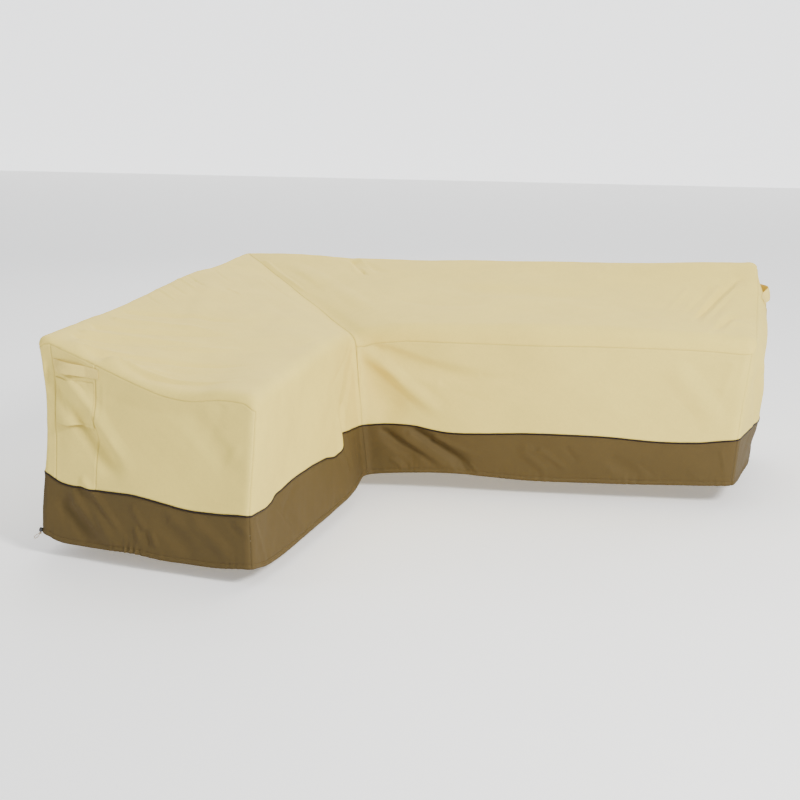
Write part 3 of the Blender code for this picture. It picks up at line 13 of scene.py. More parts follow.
import bmesh
import bpy
import numpy as np
from mathutils import Matrix, Vector
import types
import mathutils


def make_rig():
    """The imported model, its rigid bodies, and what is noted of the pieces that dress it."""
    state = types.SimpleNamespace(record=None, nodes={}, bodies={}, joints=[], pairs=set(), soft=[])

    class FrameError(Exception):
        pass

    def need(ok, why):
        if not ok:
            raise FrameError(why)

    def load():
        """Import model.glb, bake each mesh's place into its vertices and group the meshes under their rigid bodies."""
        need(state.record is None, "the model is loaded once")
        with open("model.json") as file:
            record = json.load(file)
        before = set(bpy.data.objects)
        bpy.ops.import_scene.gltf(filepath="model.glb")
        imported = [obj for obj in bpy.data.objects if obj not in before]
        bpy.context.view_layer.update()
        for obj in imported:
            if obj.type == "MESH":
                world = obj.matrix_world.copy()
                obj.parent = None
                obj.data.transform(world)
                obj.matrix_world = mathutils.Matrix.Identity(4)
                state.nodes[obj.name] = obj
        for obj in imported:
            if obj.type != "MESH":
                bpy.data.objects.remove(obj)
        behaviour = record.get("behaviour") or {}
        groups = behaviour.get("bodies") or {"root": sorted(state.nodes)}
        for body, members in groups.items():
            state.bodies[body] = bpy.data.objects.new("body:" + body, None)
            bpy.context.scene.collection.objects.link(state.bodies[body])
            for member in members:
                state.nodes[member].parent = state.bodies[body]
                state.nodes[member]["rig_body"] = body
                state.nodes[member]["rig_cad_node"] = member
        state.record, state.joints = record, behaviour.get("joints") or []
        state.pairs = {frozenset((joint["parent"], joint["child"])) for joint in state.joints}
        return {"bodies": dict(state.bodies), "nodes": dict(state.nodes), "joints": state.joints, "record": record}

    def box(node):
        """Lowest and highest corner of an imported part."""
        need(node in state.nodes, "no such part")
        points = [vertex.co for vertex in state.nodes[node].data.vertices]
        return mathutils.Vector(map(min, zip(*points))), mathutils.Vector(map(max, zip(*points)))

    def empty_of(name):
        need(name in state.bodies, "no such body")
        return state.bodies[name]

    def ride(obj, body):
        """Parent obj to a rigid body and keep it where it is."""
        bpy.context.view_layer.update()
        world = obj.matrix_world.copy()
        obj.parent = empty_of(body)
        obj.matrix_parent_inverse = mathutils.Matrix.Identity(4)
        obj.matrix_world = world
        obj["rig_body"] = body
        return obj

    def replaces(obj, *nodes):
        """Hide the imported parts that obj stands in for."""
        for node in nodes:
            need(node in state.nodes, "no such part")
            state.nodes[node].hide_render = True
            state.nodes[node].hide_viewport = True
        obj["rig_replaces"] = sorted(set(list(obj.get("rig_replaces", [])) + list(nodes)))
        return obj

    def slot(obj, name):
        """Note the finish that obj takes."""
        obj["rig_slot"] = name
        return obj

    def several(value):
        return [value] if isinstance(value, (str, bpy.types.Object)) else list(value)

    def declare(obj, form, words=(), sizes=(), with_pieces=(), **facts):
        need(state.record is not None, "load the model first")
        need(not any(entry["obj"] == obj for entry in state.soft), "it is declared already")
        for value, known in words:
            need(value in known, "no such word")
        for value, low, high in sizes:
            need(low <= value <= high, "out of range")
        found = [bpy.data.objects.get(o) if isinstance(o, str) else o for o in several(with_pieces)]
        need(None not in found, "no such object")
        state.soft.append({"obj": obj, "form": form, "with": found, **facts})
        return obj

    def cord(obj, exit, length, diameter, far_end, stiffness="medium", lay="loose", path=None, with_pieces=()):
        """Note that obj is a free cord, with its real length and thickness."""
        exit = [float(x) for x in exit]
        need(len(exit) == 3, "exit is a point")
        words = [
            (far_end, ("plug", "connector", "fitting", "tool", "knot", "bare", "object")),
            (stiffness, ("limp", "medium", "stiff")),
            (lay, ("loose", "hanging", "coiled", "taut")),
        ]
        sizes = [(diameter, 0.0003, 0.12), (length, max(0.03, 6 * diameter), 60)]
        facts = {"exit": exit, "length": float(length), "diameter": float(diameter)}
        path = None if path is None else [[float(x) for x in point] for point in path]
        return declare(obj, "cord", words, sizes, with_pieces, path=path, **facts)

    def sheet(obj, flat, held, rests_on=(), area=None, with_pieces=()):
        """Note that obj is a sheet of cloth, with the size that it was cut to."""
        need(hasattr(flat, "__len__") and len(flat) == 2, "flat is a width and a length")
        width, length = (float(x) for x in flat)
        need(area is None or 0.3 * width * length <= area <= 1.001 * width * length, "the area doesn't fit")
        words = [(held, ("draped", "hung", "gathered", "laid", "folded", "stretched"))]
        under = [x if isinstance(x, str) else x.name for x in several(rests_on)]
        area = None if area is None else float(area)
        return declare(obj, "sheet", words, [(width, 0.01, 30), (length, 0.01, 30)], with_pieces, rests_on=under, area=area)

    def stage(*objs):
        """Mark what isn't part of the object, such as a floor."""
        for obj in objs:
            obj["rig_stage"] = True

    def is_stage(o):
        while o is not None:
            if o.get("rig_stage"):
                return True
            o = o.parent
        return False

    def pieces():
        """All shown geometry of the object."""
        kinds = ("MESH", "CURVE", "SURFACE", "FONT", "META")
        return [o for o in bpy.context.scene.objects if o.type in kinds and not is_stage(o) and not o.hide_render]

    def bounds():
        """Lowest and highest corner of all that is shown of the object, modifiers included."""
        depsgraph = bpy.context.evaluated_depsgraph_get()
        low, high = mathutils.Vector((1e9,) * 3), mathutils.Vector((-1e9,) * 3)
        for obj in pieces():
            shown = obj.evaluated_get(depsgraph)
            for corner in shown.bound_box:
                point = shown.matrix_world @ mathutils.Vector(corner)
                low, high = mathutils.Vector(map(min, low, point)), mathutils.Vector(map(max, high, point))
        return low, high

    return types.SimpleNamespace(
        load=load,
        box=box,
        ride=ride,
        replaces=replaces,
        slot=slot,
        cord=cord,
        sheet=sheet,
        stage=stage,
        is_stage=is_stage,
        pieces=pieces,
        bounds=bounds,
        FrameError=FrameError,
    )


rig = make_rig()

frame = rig.load()
CAD_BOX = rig.bounds()

ORIGIN = np.array((0.400, -0.450, 0.769))   # of the row, in the plan's frame
CLOTH = 0.0015
ROLL_INSET = 0.062          # the soft fold starts this far in from a top edge
STRIP_END = 0.247           # a vent strip goes from there to this distance from an outer corner
SHOULDER_H = 0.85           # share of the upper wall's height where its shoulder stands out most
SHOULDER_RISE = 4.0         # how sharply the shoulder starts below, and how softly it ends above
SHOULDER_FALL = 0.7
FOLD_START = 0.25           # shares of a fold's length over which it rises and runs out
FOLD_END = 0.30
CORNER_CALM = 0.035         # folds fade out this close to an upright corner,
RIM_CALM = 0.090            # to a top's edges
MITRE_CALM = 0.120          # and to the mitre
CREASE_START = 0.06         # the same for the short creases
CREASE_END = 0.40
CREASE_CORNER = 0.006
CREASE_RIM = 0.012
CREASE_CREST = 0.22         # how much of a crease's width its crest is rounded over
LINE_STEPS = 12             # straight pieces in the bent line of a fold
TINY = 1e-6
WAIST_REACH = 0.150         # how far from a corner its drawn-in waist reaches
TOP_SAG = 0.010             # of the top between its edges
BOW_START = 0.45            # share of a wing's length where its top starts to bow like its end

# The corners of the plan: each at three levels of the cloth, how wide it is rounded, how far
# below the top edge its seam lies, and how far its upright edge stands out halfway up.
Corner = namedtuple("Corner", "hem piping top radius seam_drop waist")
CORNERS = {
    "outer_back": Corner((0.012, -0.014, 0.078), (0, -0.004, 0.278), (0, 0, 0.868),
        0.04, 0.05, 0),
    "left_outer": Corner((-0.295, -1.95, 0.086), (-0.281, -1.936, 0.322), (-0.283, -1.938, 0.847),
        0.032, 0.046, -0.018),
    "left_inner": Corner((0.58, -2.172, 0.068), (0.577, -2.176, 0.266), (0.61, -2.168, 0.702),
        0.036, 0.056, 0),
    "inner": Corner((0.748, -0.896, 0.066), (0.724, -0.896, 0.28), (0.696, -0.896, 0.662),
        0.05, 0.05, 0),
    "right_front": Corner((2.28, -0.876, 0.088), (2.296, -0.886, 0.284), (2.346, -0.896, 0.7),
        0.046, 0.055, 0),
    "right_back": Corner((2.348, -0.022, 0.088), (2.36, -0.006, 0.29), (2.364, 0.002, 0.899),
        0.028, 0.04, 0.01),
}

# A wall runs from one corner to the next.  Its top seam lies this far below the sharp top edge
# where the wall starts and ends, and sags by so much more halfway.  Its sections say how the
# cloth leaves the straight line between the corners: out (away from the inside) and up, at the
# hem, piping and top edge, how far it bellies out halfway up, and how far it shoulders out close
# under the top seam.  Its cells come in runs, each to a distance from the wall's start, or from
# its end where negative.
Section = namedtuple("Section", "along hem_out hem_up piping_out piping_up top_out top_up belly"
                     " shoulder", defaults=(0.0,))
CellRun = namedtuple("CellRun", "to count")
Wall = namedtuple("Wall", "name start end seam_start seam_end seam_sag cells sections")
WALLS = (
    Wall("outer_short", "outer_back", "left_outer", 0.05, 0.05, 0,
         (CellRun(-ROLL_INSET, 18),), (
        Section(0.3, -0.01, -0.012, -0.004, -0.008, -0.004, -0.003, -0.01),
        Section(0.62, -0.018, 0.006, -0.01, 0.004, 0.004, 0.008, -0.016),
        Section(1, -0.006, -0.014, 0.004, -0.012, 0.002, 0, 0.004),
        Section(1.35, -0.02, 0.004, -0.008, 0.003, -0.004, -0.003, -0.012),
        Section(1.7, 0.006, -0.012, 0.004, -0.016, 0, -0.001, 0.004),
    )),
    Wall("left_end", "left_outer", "left_inner", 0.018, 0.038, 0,
         (CellRun(STRIP_END, 5), CellRun(0.44, 5), CellRun(-ROLL_INSET, 4),), (
        Section(0.09, 0.004, -0.02, 0, -0.028, -0.004, -0.01, -0.006),
        Section(0.19, 0.004, -0.022, 0.002, -0.028, -0.008, -0.026, -0.01),
        Section(0.28, 0.006, -0.02, 0.004, -0.024, -0.008, -0.04, -0.008),
        Section(0.43, 0.008, -0.014, 0.008, -0.012, -0.006, -0.06, -0.004),
        Section(0.54, 0.006, -0.021, 0.006, -0.018, -0.004, -0.069, -0.004),
        Section(0.65, 0.002, -0.02, 0.002, -0.026, -0.002, -0.056, -0.006),
        Section(0.77, 0, -0.016, 0, -0.018, 0, -0.018, -0.008),
    )),
    Wall("inner_short", "left_inner", "inner", 0.05, 0.05, 0,
         (CellRun(-ROLL_INSET, 18),), (
        Section(0.1, 0.012, -0.014, -0.004, -0.01, 0, 0.002, 0.004),
        Section(0.19, 0.02, -0.017, -0.008, -0.019, 0, 0.004, 0.002),
        Section(0.3, 0.028, -0.013, -0.006, -0.002, -0.004, 0.006, 0),
        Section(0.48, 0.034, -0.009, 0, 0.008, -0.01, 0.008, -0.004),
        Section(0.62, 0.037, -0.008, 0.004, 0.003, -0.008, 0.016, -0.004),
        Section(0.8, 0.039, -0.006, 0.006, -0.013, 0, 0.03, 0),
        Section(0.96, 0.037, -0.005, 0.01, -0.027, 0, 0.034, 0.004),
        Section(1.03, 0.032, -0.002, 0.004, 0.016, 0, 0.032, 0.002),
        Section(1.14, 0.018, 0.004, 0, 0.014, 0, 0.024, 0),
    )),
    Wall("long_front", "inner", "right_front", 0.055, 0.055, 0.022,
         (CellRun(0.53, 12), CellRun(-ROLL_INSET, 11),), (
        Section(0.07, 0, 0.006, 0, 0.006, 0, 0.02, -0.006),
        Section(0.19, 0.002, 0.013, 0, 0.009, 0.002, 0.04, -0.01),
        Section(0.4, 0.004, 0.017, 0.002, -0.018, 0.004, 0.047, -0.006),
        Section(0.54, 0.002, 0.008, 0.002, -0.016, 0.004, 0.048, -0.004),
        Section(0.74, 0, -0.005, 0, -0.008, 0.004, 0.046, -0.006),
        Section(1.06, 0, -0.007, 0, -0.008, 0.002, 0.041, -0.006),
        Section(1.33, 0.002, -0.005, 0.002, -0.02, 0, 0.029, -0.006),
        Section(1.47, 0.004, -0.002, 0.004, -0.016, 0, 0.018, -0.006),
    )),
    Wall("right_end", "right_front", "right_back", 0.018, 0.018, 0,
         (CellRun(-STRIP_END, 7), CellRun(-ROLL_INSET, 5),), (
        Section(0.1, 0.01, -0.004, 0.018, 0.002, -0.018, -0.01, 0.016, 0.02),
        Section(0.24, 0.024, -0.008, 0.044, 0, -0.036, -0.03, 0.024, 0.048),
        Section(0.41, 0.04, -0.006, 0.062, -0.004, -0.044, -0.052, 0.026, 0.062),
        Section(0.58, 0.034, 0.004, 0.044, 0.002, -0.036, -0.05, 0.028, 0.058),
        Section(0.72, 0.016, 0, 0.02, -0.004, -0.022, -0.032, 0.024, 0.042),
        Section(0.81, 0.006, -0.004, 0.008, -0.002, -0.01, -0.014, 0.012, 0.018),
    )),
    Wall("long_back", "right_back", "outer_back", 0.05, 0.05, 0,
         (CellRun(-ROLL_INSET, 23),), (
        Section(0.1, -0.004, -0.006, -0.004, -0.004, 0, -0.002, 0.004),
        Section(0.4, -0.016, -0.014, -0.008, -0.012, 0.002, -0.01, -0.008),
        Section(0.8, -0.004, 0.004, 0.004, 0.003, -0.002, -0.014, 0.004),
        Section(1.15, -0.018, -0.012, -0.008, -0.01, 0.002, -0.017, -0.012),
        Section(1.55, -0.006, 0.002, 0.004, 0.004, 0, -0.017, 0.002),
        Section(1.86, -0.016, -0.012, -0.008, -0.01, 0, -0.016, -0.008),
        Section(2.04, -0.01, -0.004, -0.002, -0.002, 0, -0.005, 0),
    )),
)

# Folds and creases: soft ridges (height above 0) and troughs (below 0) along a bent line that
# starts, bends and ends at the given places.  On a wall a place is a distance along it and a
# height, on a top the share of the wing's length from the mitre outwards and the share of its
# depth from the outer edge inwards.
Fold = namedtuple("Fold", "from_x from_y bend_x bend_y to_x to_y width height")
WALL_FOLDS = {
    "left_end": (
        Fold(0.02, 0.79, 0.07, 0.62, 0.23, 0.52, 0.07, -0.012),
        Fold(0.14, 0.6, 0.23, 0.49, 0.37, 0.31, 0.068, -0.017),
        Fold(0.07, 0.74, 0.24, 0.56, 0.43, 0.33, 0.06, 0.011),
        Fold(0.1, 0.27, 0.235, 0.19, 0.37, 0.07, 0.055, 0.015),
        Fold(0.08, 0.25, 0.15, 0.18, 0.25, 0.07, 0.055, -0.013),
        Fold(0.5, 0.23, 0.59, 0.17, 0.7, 0.07, 0.05, -0.007),
        Fold(0.64, 0.24, 0.76, 0.18, 0.85, 0.08, 0.045, 0.008),
        Fold(0.6, 0.64, 0.76, 0.52, 0.85, 0.38, 0.07, -0.006),
    ),
    "inner_short": (
        Fold(0.93, 0.42, 0.985, 0.3, 0.99, 0.13, 0.045, 0.012),
        Fold(1.02, 0.48, 1.06, 0.3, 1.04, 0.12, 0.045, -0.012),
        Fold(0.25, 0.3, 0.33, 0.19, 0.42, 0.08, 0.05, -0.008),
        Fold(1.24, 0.61, 1.1, 0.48, 0.96, 0.3, 0.06, -0.006),
    ),
    "long_front": (
        Fold(0.01, 0.635, 0.16, 0.534, 0.61, 0.484, 0.06, -0.012),
        Fold(0.01, 0.6, 0.06, 0.42, 0.2, 0.29, 0.12, -0.018),
        Fold(0.01, 0.625, 0.15, 0.5, 0.39, 0.33, 0.052, 0.008),
        Fold(0.08, 0.265, 0.17, 0.2, 0.26, 0.12, 0.046, -0.01),
        Fold(0.19, 0.285, 0.34, 0.2, 0.52, 0.085, 0.05, -0.014),
        Fold(0.13, 0.27, 0.27, 0.21, 0.42, 0.1, 0.044, 0.009),
        Fold(0.7, 0.225, 0.78, 0.17, 0.86, 0.09, 0.045, 0.007),
        Fold(1.08, 0.19, 1.16, 0.16, 1.25, 0.095, 0.045, -0.006),
        Fold(1.3, 0.6, 1.45, 0.48, 1.56, 0.33, 0.07, 0.008),
    ),
    "right_end": (
        Fold(0.08, 0.64, 0.26, 0.5, 0.48, 0.32, 0.07, 0.014),
        Fold(0.06, 0.56, 0.2, 0.42, 0.33, 0.25, 0.06, -0.01),
        Fold(0.3, 0.26, 0.4, 0.19, 0.5, 0.09, 0.05, -0.009),
        Fold(0.56, 0.27, 0.64, 0.18, 0.7, 0.08, 0.05, 0.009),
    ),
    "long_back": (
        Fold(0.05, 0.78, 0.22, 0.56, 0.56, 0.33, 0.07, -0.012),
        Fold(0.08, 0.8, 0.32, 0.6, 0.68, 0.38, 0.06, 0.008),
        Fold(1.02, 0.62, 1.15, 0.4, 1.2, 0.12, 0.06, -0.009),
        Fold(1.56, 0.28, 1.68, 0.19, 1.76, 0.08, 0.05, 0.009),
        Fold(2.28, 0.79, 2.12, 0.56, 1.78, 0.32, 0.07, -0.012),
        Fold(0.62, 0.27, 0.74, 0.19, 0.83, 0.08, 0.05, -0.009),
    ),
    "outer_short": (
        Fold(0.05, 0.78, 0.22, 0.56, 0.52, 0.33, 0.07, -0.012),
        Fold(0.88, 0.6, 0.96, 0.4, 0.98, 0.13, 0.06, -0.009),
        Fold(1.89, 0.76, 1.74, 0.56, 1.45, 0.34, 0.07, -0.011),
        Fold(1.28, 0.27, 1.38, 0.18, 1.45, 0.08, 0.05, 0.009),
    ),
}
TOP_FOLDS = {
    "short": (
        Fold(0.96, 0.1, 0.86, 0.3, 0.55, 0.62, 0.075, -0.007),
        Fold(0.97, 0.22, 0.9, 0.44, 0.74, 0.8, 0.06, 0.006),
        Fold(0.25, 0.12, 0.45, 0.34, 0.7, 0.4, 0.08, 0.006),
        Fold(0.1, 0.55, 0.35, 0.66, 0.62, 0.6, 0.08, -0.006),
    ),
    "long": (
        Fold(0.98, 0.06, 0.92, 0.4, 0.86, 0.84, 0.07, -0.01),
        Fold(0.99, 0.3, 0.96, 0.55, 0.91, 0.85, 0.05, 0.008),
        Fold(0.2, 0.03, 0.22, 0.14, 0.24, 0.28, 0.06, -0.007),
        Fold(0.05, 0.12, 0.1, 0.45, 0.1, 0.86, 0.09, 0.007),
        Fold(0.3, 0.45, 0.5, 0.52, 0.72, 0.46, 0.1, -0.008),
    ),
}

# Short creases that are too fine for the solids.  On a top their places are distances in metres,
# from the mitre along the outer edge, and from the outer edge inwards.
WALL_CREASES = {
    "left_end": (
        Fold(0.085, 0.825, 0.14, 0.805, 0.2, 0.77, 0.013, -0.0049),
        Fold(0.125, 0.81, 0.19, 0.79, 0.265, 0.765, 0.013, -0.0039),
        Fold(0.1, 0.805, 0.165, 0.79, 0.225, 0.75, 0.014, 0.0034),
        Fold(0.08, 0.74, 0.165, 0.66, 0.27, 0.545, 0.023, 0.007),
        Fold(0.12, 0.705, 0.175, 0.675, 0.225, 0.63, 0.013, -0.0045),
        Fold(0.22, 0.58, 0.31, 0.485, 0.39, 0.395, 0.03, 0.0048),
        Fold(0.13, 0.575, 0.25, 0.445, 0.385, 0.34, 0.03, -0.0038),
        Fold(0.08, 0.665, 0.085, 0.61, 0.13, 0.525, 0.016, -0.0028),
        Fold(0.175, 0.325, 0.29, 0.23, 0.405, 0.095, 0.024, 0.01),
        Fold(0.155, 0.285, 0.235, 0.185, 0.32, 0.085, 0.03, -0.008),
        Fold(0.145, 0.23, 0.165, 0.18, 0.205, 0.13, 0.023, 0.0042),
        Fold(0.08, 0.23, 0.1, 0.165, 0.135, 0.1, 0.021, -0.0031),
        Fold(0.43, 0.17, 0.44, 0.145, 0.455, 0.09, 0.014, 0.007),
        Fold(0.47, 0.165, 0.49, 0.14, 0.49, 0.085, 0.014, -0.0075),
        Fold(0.5, 0.16, 0.515, 0.135, 0.525, 0.085, 0.014, 0.007),
        Fold(0.41, 0.245, 0.47, 0.175, 0.52, 0.095, 0.02, 0.005),
        Fold(0.85, 0.235, 0.895, 0.225, 0.92, 0.19, 0.016, 0.0042),
        Fold(0.82, 0.245, 0.86, 0.21, 0.9, 0.165, 0.023, -0.0028),
        Fold(0.86, 0.525, 0.82, 0.46, 0.8, 0.4, 0.032, 0.0024),
        Fold(0.785, 0.665, 0.755, 0.56, 0.69, 0.48, 0.038, -0.0022),
        Fold(0.57, 0.215, 0.645, 0.175, 0.765, 0.17, 0.034, 0.0028),
        Fold(0.305, 0.635, 0.54, 0.575, 0.77, 0.63, 0.034, -0.0022),
        Fold(0.28, 0.685, 0.285, 0.595, 0.26, 0.49, 0.013, 0.0017),
    ),
    "inner_short": (
        Fold(1.23, 0.64, 1.065, 0.56, 0.77, 0.51, 0.023, -0.0031),
        Fold(1.195, 0.62, 1.125, 0.465, 0.91, 0.355, 0.021, 0.0025),
        Fold(0.035, 0.685, 0.125, 0.56, 0.185, 0.42, 0.028, 0.0028),
        Fold(1.065, 0.265, 1.07, 0.23, 1.06, 0.165, 0.014, 0.0042),
        Fold(1.185, 0.26, 1.2, 0.2, 1.13, 0.135, 0.013, -0.0042),
        Fold(0.49, 0.265, 0.35, 0.24, 0.29, 0.15, 0.023, -0.0031),
        Fold(0.035, 0.25, 0.075, 0.16, 0.1, 0.08, 0.023, 0.0034),
    ),
    "long_front": (
        Fold(0, 0.645, 0.205, 0.46, 0.42, 0.3, 0.044, 0.0046),
        Fold(0, 0.64, 0.125, 0.61, 0.295, 0.575, 0.03, -0.0035),
        Fold(0.125, 0.605, 0.355, 0.52, 0.665, 0.485, 0.04, -0.0035),
        Fold(0, 0.61, 0, 0.46, 0.03, 0.305, 0.016, 0.0022),
        Fold(0.53, 0.525, 0.61, 0.47, 0.78, 0.555, 0.028, -0.0031),
        Fold(0.355, 0.485, 0.475, 0.415, 0.635, 0.39, 0.03, -0.002),
        Fold(0.08, 0.27, 0.215, 0.2, 0.36, 0.095, 0.02, -0.0084),
        Fold(0.205, 0.265, 0.335, 0.185, 0.46, 0.095, 0.022, 0.008),
        Fold(0.23, 0.275, 0.37, 0.195, 0.53, 0.09, 0.022, -0.0088),
        Fold(0.32, 0.245, 0.435, 0.195, 0.555, 0.16, 0.021, 0.005),
        Fold(0.12, 0.14, 0.16, 0.125, 0.18, 0.085, 0.013, 0.0048),
        Fold(0.15, 0.155, 0.2, 0.13, 0.205, 0.085, 0.013, -0.0048),
        Fold(0.385, 0.135, 0.405, 0.115, 0.42, 0.085, 0.013, 0.0048),
        Fold(0.44, 0.135, 0.46, 0.11, 0.47, 0.085, 0.013, -0.0048),
        Fold(0.475, 0.14, 0.505, 0.115, 0.525, 0.085, 0.013, 0.0048),
        Fold(0.785, 0.215, 0.865, 0.16, 0.925, 0.115, 0.018, 0.0056),
        Fold(0.735, 0.205, 0.815, 0.16, 0.845, 0.11, 0.016, -0.0039),
        Fold(0.905, 0.225, 0.94, 0.185, 0.975, 0.15, 0.018, -0.0036),
        Fold(1.1, 0.145, 1.12, 0.125, 1.125, 0.085, 0.013, 0.0028),
        Fold(1.23, 0.17, 1.275, 0.13, 1.32, 0.11, 0.013, -0.0028),
        Fold(1.445, 0.15, 1.48, 0.125, 1.515, 0.11, 0.013, 0.0028),
        Fold(1.575, 0.25, 1.605, 0.18, 1.6, 0.12, 0.016, 0.0034),
        Fold(1.57, 0.62, 1.565, 0.525, 1.515, 0.36, 0.034, 0.0025),
        Fold(1.645, 0.63, 1.62, 0.54, 1.61, 0.415, 0.028, -0.0025),
    ),
}
TOP_CREASES = {
    "short": (
        Fold(1.92, 0.105, 1.85, 0.26, 1.63, 0.41, 0.03, 0.0112),
        Fold(1.945, 0.14, 1.86, 0.31, 1.655, 0.49, 0.03, -0.0117),
        Fold(1.95, 0.165, 1.895, 0.35, 1.7, 0.555, 0.03, 0.0117),
        Fold(1.945, 0.195, 1.91, 0.42, 1.785, 0.65, 0.03, -0.0117),
        Fold(1.9, 0.11, 1.445, 0.405, 1.155, 0.66, 0.034, 0.0117),
        Fold(1.895, 0.195, 1.59, 0.495, 1.37, 0.77, 0.034, -0.0117),
        Fold(1.84, 0.09, 1.67, 0.265, 1.39, 0.485, 0.03, -0.0102),
        Fold(1.77, 0.08, 1.56, 0.255, 1.16, 0.58, 0.032, 0.0097),
        Fold(1.67, 0.08, 1.45, 0.255, 1, 0.6, 0.032, -0.0097),
        Fold(1.505, 0.08, 1.285, 0.265, 1.055, 0.51, 0.032, 0.0087),
        Fold(1.395, 0.065, 1.105, 0.3, 0.795, 0.575, 0.032, -0.0077),
        Fold(1.885, 0.255, 1.84, 0.57, 1.695, 0.82, 0.03, 0.0112),
        Fold(0.76, 0.02, 0.75, 0.09, 0.78, 0.19, 0.013, 0.0056),
        Fold(0.68, 0.025, 0.675, 0.09, 0.715, 0.215, 0.013, -0.0056),
        Fold(0.86, 0.025, 0.885, 0.095, 0.89, 0.185, 0.013, -0.0046),
        Fold(0.965, 0.025, 0.98, 0.095, 1, 0.185, 0.013, 0.0046),
        Fold(1.095, 0.035, 1.12, 0.085, 1.13, 0.165, 0.013, -0.0039),
        Fold(0.56, 0.245, 0.545, 0.295, 0.54, 0.365, 0.016, 0.0046),
        Fold(0.43, 0.055, 0.47, 0.13, 0.465, 0.22, 0.014, -0.0036),
        Fold(0.385, 0.92, 0.67, 0.91, 1.91, 0.92, 0.025, 0.0056),
        Fold(0.22, 0.92, 0.57, 0.865, 1.005, 0.8, 0.023, -0.0036),
        Fold(0.18, 0.27, 0.185, 0.455, 0.19, 0.655, 0.025, -0.0031),
    ),
    "long": (
        Fold(0.49, 0.06, 0.46, 0.195, 0.46, 0.285, 0.018, -0.012),
        Fold(0.53, 0.05, 0.52, 0.14, 0.51, 0.255, 0.018, 0.006),
        Fold(0.46, 0.115, 0.43, 0.19, 0.42, 0.29, 0.013, 0.0037),
        Fold(0.03, 0.12, 0.02, 0.345, 0.05, 0.525, 0.023, 0.0066),
        Fold(0.14, 0.245, 0.16, 0.46, 0.105, 0.695, 0.039, 0.0022),
        Fold(2.31, 0.13, 2.2, 0.32, 2.02, 0.76, 0.022, -0.0095),
        Fold(2.34, 0.16, 2.24, 0.355, 2.06, 0.805, 0.022, 0.009),
        Fold(2.225, 0.205, 2.145, 0.405, 2.02, 0.73, 0.022, 0.008),
        Fold(2.175, 0.225, 2.095, 0.425, 1.975, 0.68, 0.022, -0.007),
        Fold(2.07, 0.25, 1.995, 0.41, 1.905, 0.595, 0.026, 0.0055),
        Fold(2.315, 0.495, 2.24, 0.665, 2.095, 0.885, 0.02, -0.009),
        Fold(2.35, 0.505, 2.275, 0.675, 2.16, 0.885, 0.02, 0.0085),
        Fold(2.25, 0.555, 2.175, 0.72, 2.06, 0.885, 0.016, 0.0037),
        Fold(1.945, 0.6, 1.84, 0.665, 1.715, 0.76, 0.018, -0.0034),
        Fold(2.12, 0.29, 1.89, 0.455, 1.695, 0.55, 0.025, 0.0022),
        Fold(1.275, 0.06, 1.235, 0.135, 1.105, 0.32, 0.021, -0.0026),
        Fold(1.69, 0.08, 1.64, 0.185, 1.505, 0.37, 0.025, 0.0024),
        Fold(0.47, 0.57, 0.62, 0.695, 1.105, 0.55, 0.039, -0.0019),
        Fold(1.33, 0.53, 1.525, 0.75, 1.96, 0.415, 0.039, 0.0019),
    ),
}

# Wings of the top, each between an outer wall, an inner wall and an end wall, by their numbers.
Wing = namedtuple("Wing", "name outer inner end mitre_is_outer_start")
LONG_WING = Wing("long", 5, 3, 4, False)
SHORT_WING = Wing("short", 0, 2, 1, True)

# Edges of the sewn-on pieces, from the top seam down to the piping, as a share of that height:
# near the outer walls, at the vent strip's inner seam, and near the inner walls.
Row = namedtuple("Row", "outer strip inner")
ROWS = {
    "handle_top": Row(0.100, 0.028, 0.060),
    "handle_foot": Row(0.195, 0.110, 0.135),
    "vent_top": Row(0.240, 0.145, 0.230),
    "vent_lip": Row(0.575, 0.510, 0.560),
}

# Cells, seams and hem.
ZONE_STEPS = 3              # the solids' cells between a mid-corner and the start of a wall
CELL = 0.0080               # size of the cloth's cells
EDGE_STEPS = (0.0016, 0.0036, 0.0065, 0.0105)       # of the cells beside a seam
EDGE_ROOM = 1.4             # other cells start at this many times the last of those steps
ROLL_LEVELS = (0.11, 0.22, 0.33, 0.44, 0.55, 0.65, 0.74, 0.83, 0.90, 0.95, 0.98, 1.0)
PANEL_HEIGHT = 0.450        # about, for the count of the cells up a wall,
INNER_SIDE_HEIGHT = 0.360   # and up the short wing's inner side
SKIRT_HEIGHT = 0.205
SEAM_GROOVE, SEAM_GROOVE_WIDTH = 0.0017, 0.0022
SEAM_LIP, SEAM_LIP_PLACE, SEAM_LIP_WIDTH = 0.0008, 0.0075, 0.0045
SEAM_PUCKER, SEAM_PUCKER_REACH = 0.00035, 0.012
THREAD = 0.0009             # pitch of the weave's threads
STITCH = 0.0040
STITCH_INSET = 0.0055
PIPING_DIAMETER = 0.0062
PIPING_PROUD = 0.0010       # how far the piping's middle stands out from the cloth's middle
PIPING_TUCK = 0.0014        # the cloth's edges end this far from the piping's middle line
PIPING_SIDES = 14
HEM_STEPS = (0.0, 0.0025, 0.0055, 0.009, 0.0125, 0.0155, 0.0175, 0.019, 0.0205, 0.0225)
HEM_END = 0.0260            # the skirt's even cells run from here
SKIRT_END = 0.010           # to this distance from the piping
HEM_DEPTH = 0.0185
HEM_BULGE, HEM_FULLNESS = 0.0019, 0.7
HEM_GROOVE, HEM_GROOVE_WIDTH = 0.0011, 0.0020
GATHER_REACH = 0.026        # how far up the skirt the hem's gathers fade out
EVEN_GATHER = 0.0007        # height of the hem's gathers where the drawcord is loose
Gather = namedtuple("Gather", "wall from_x to_x height")
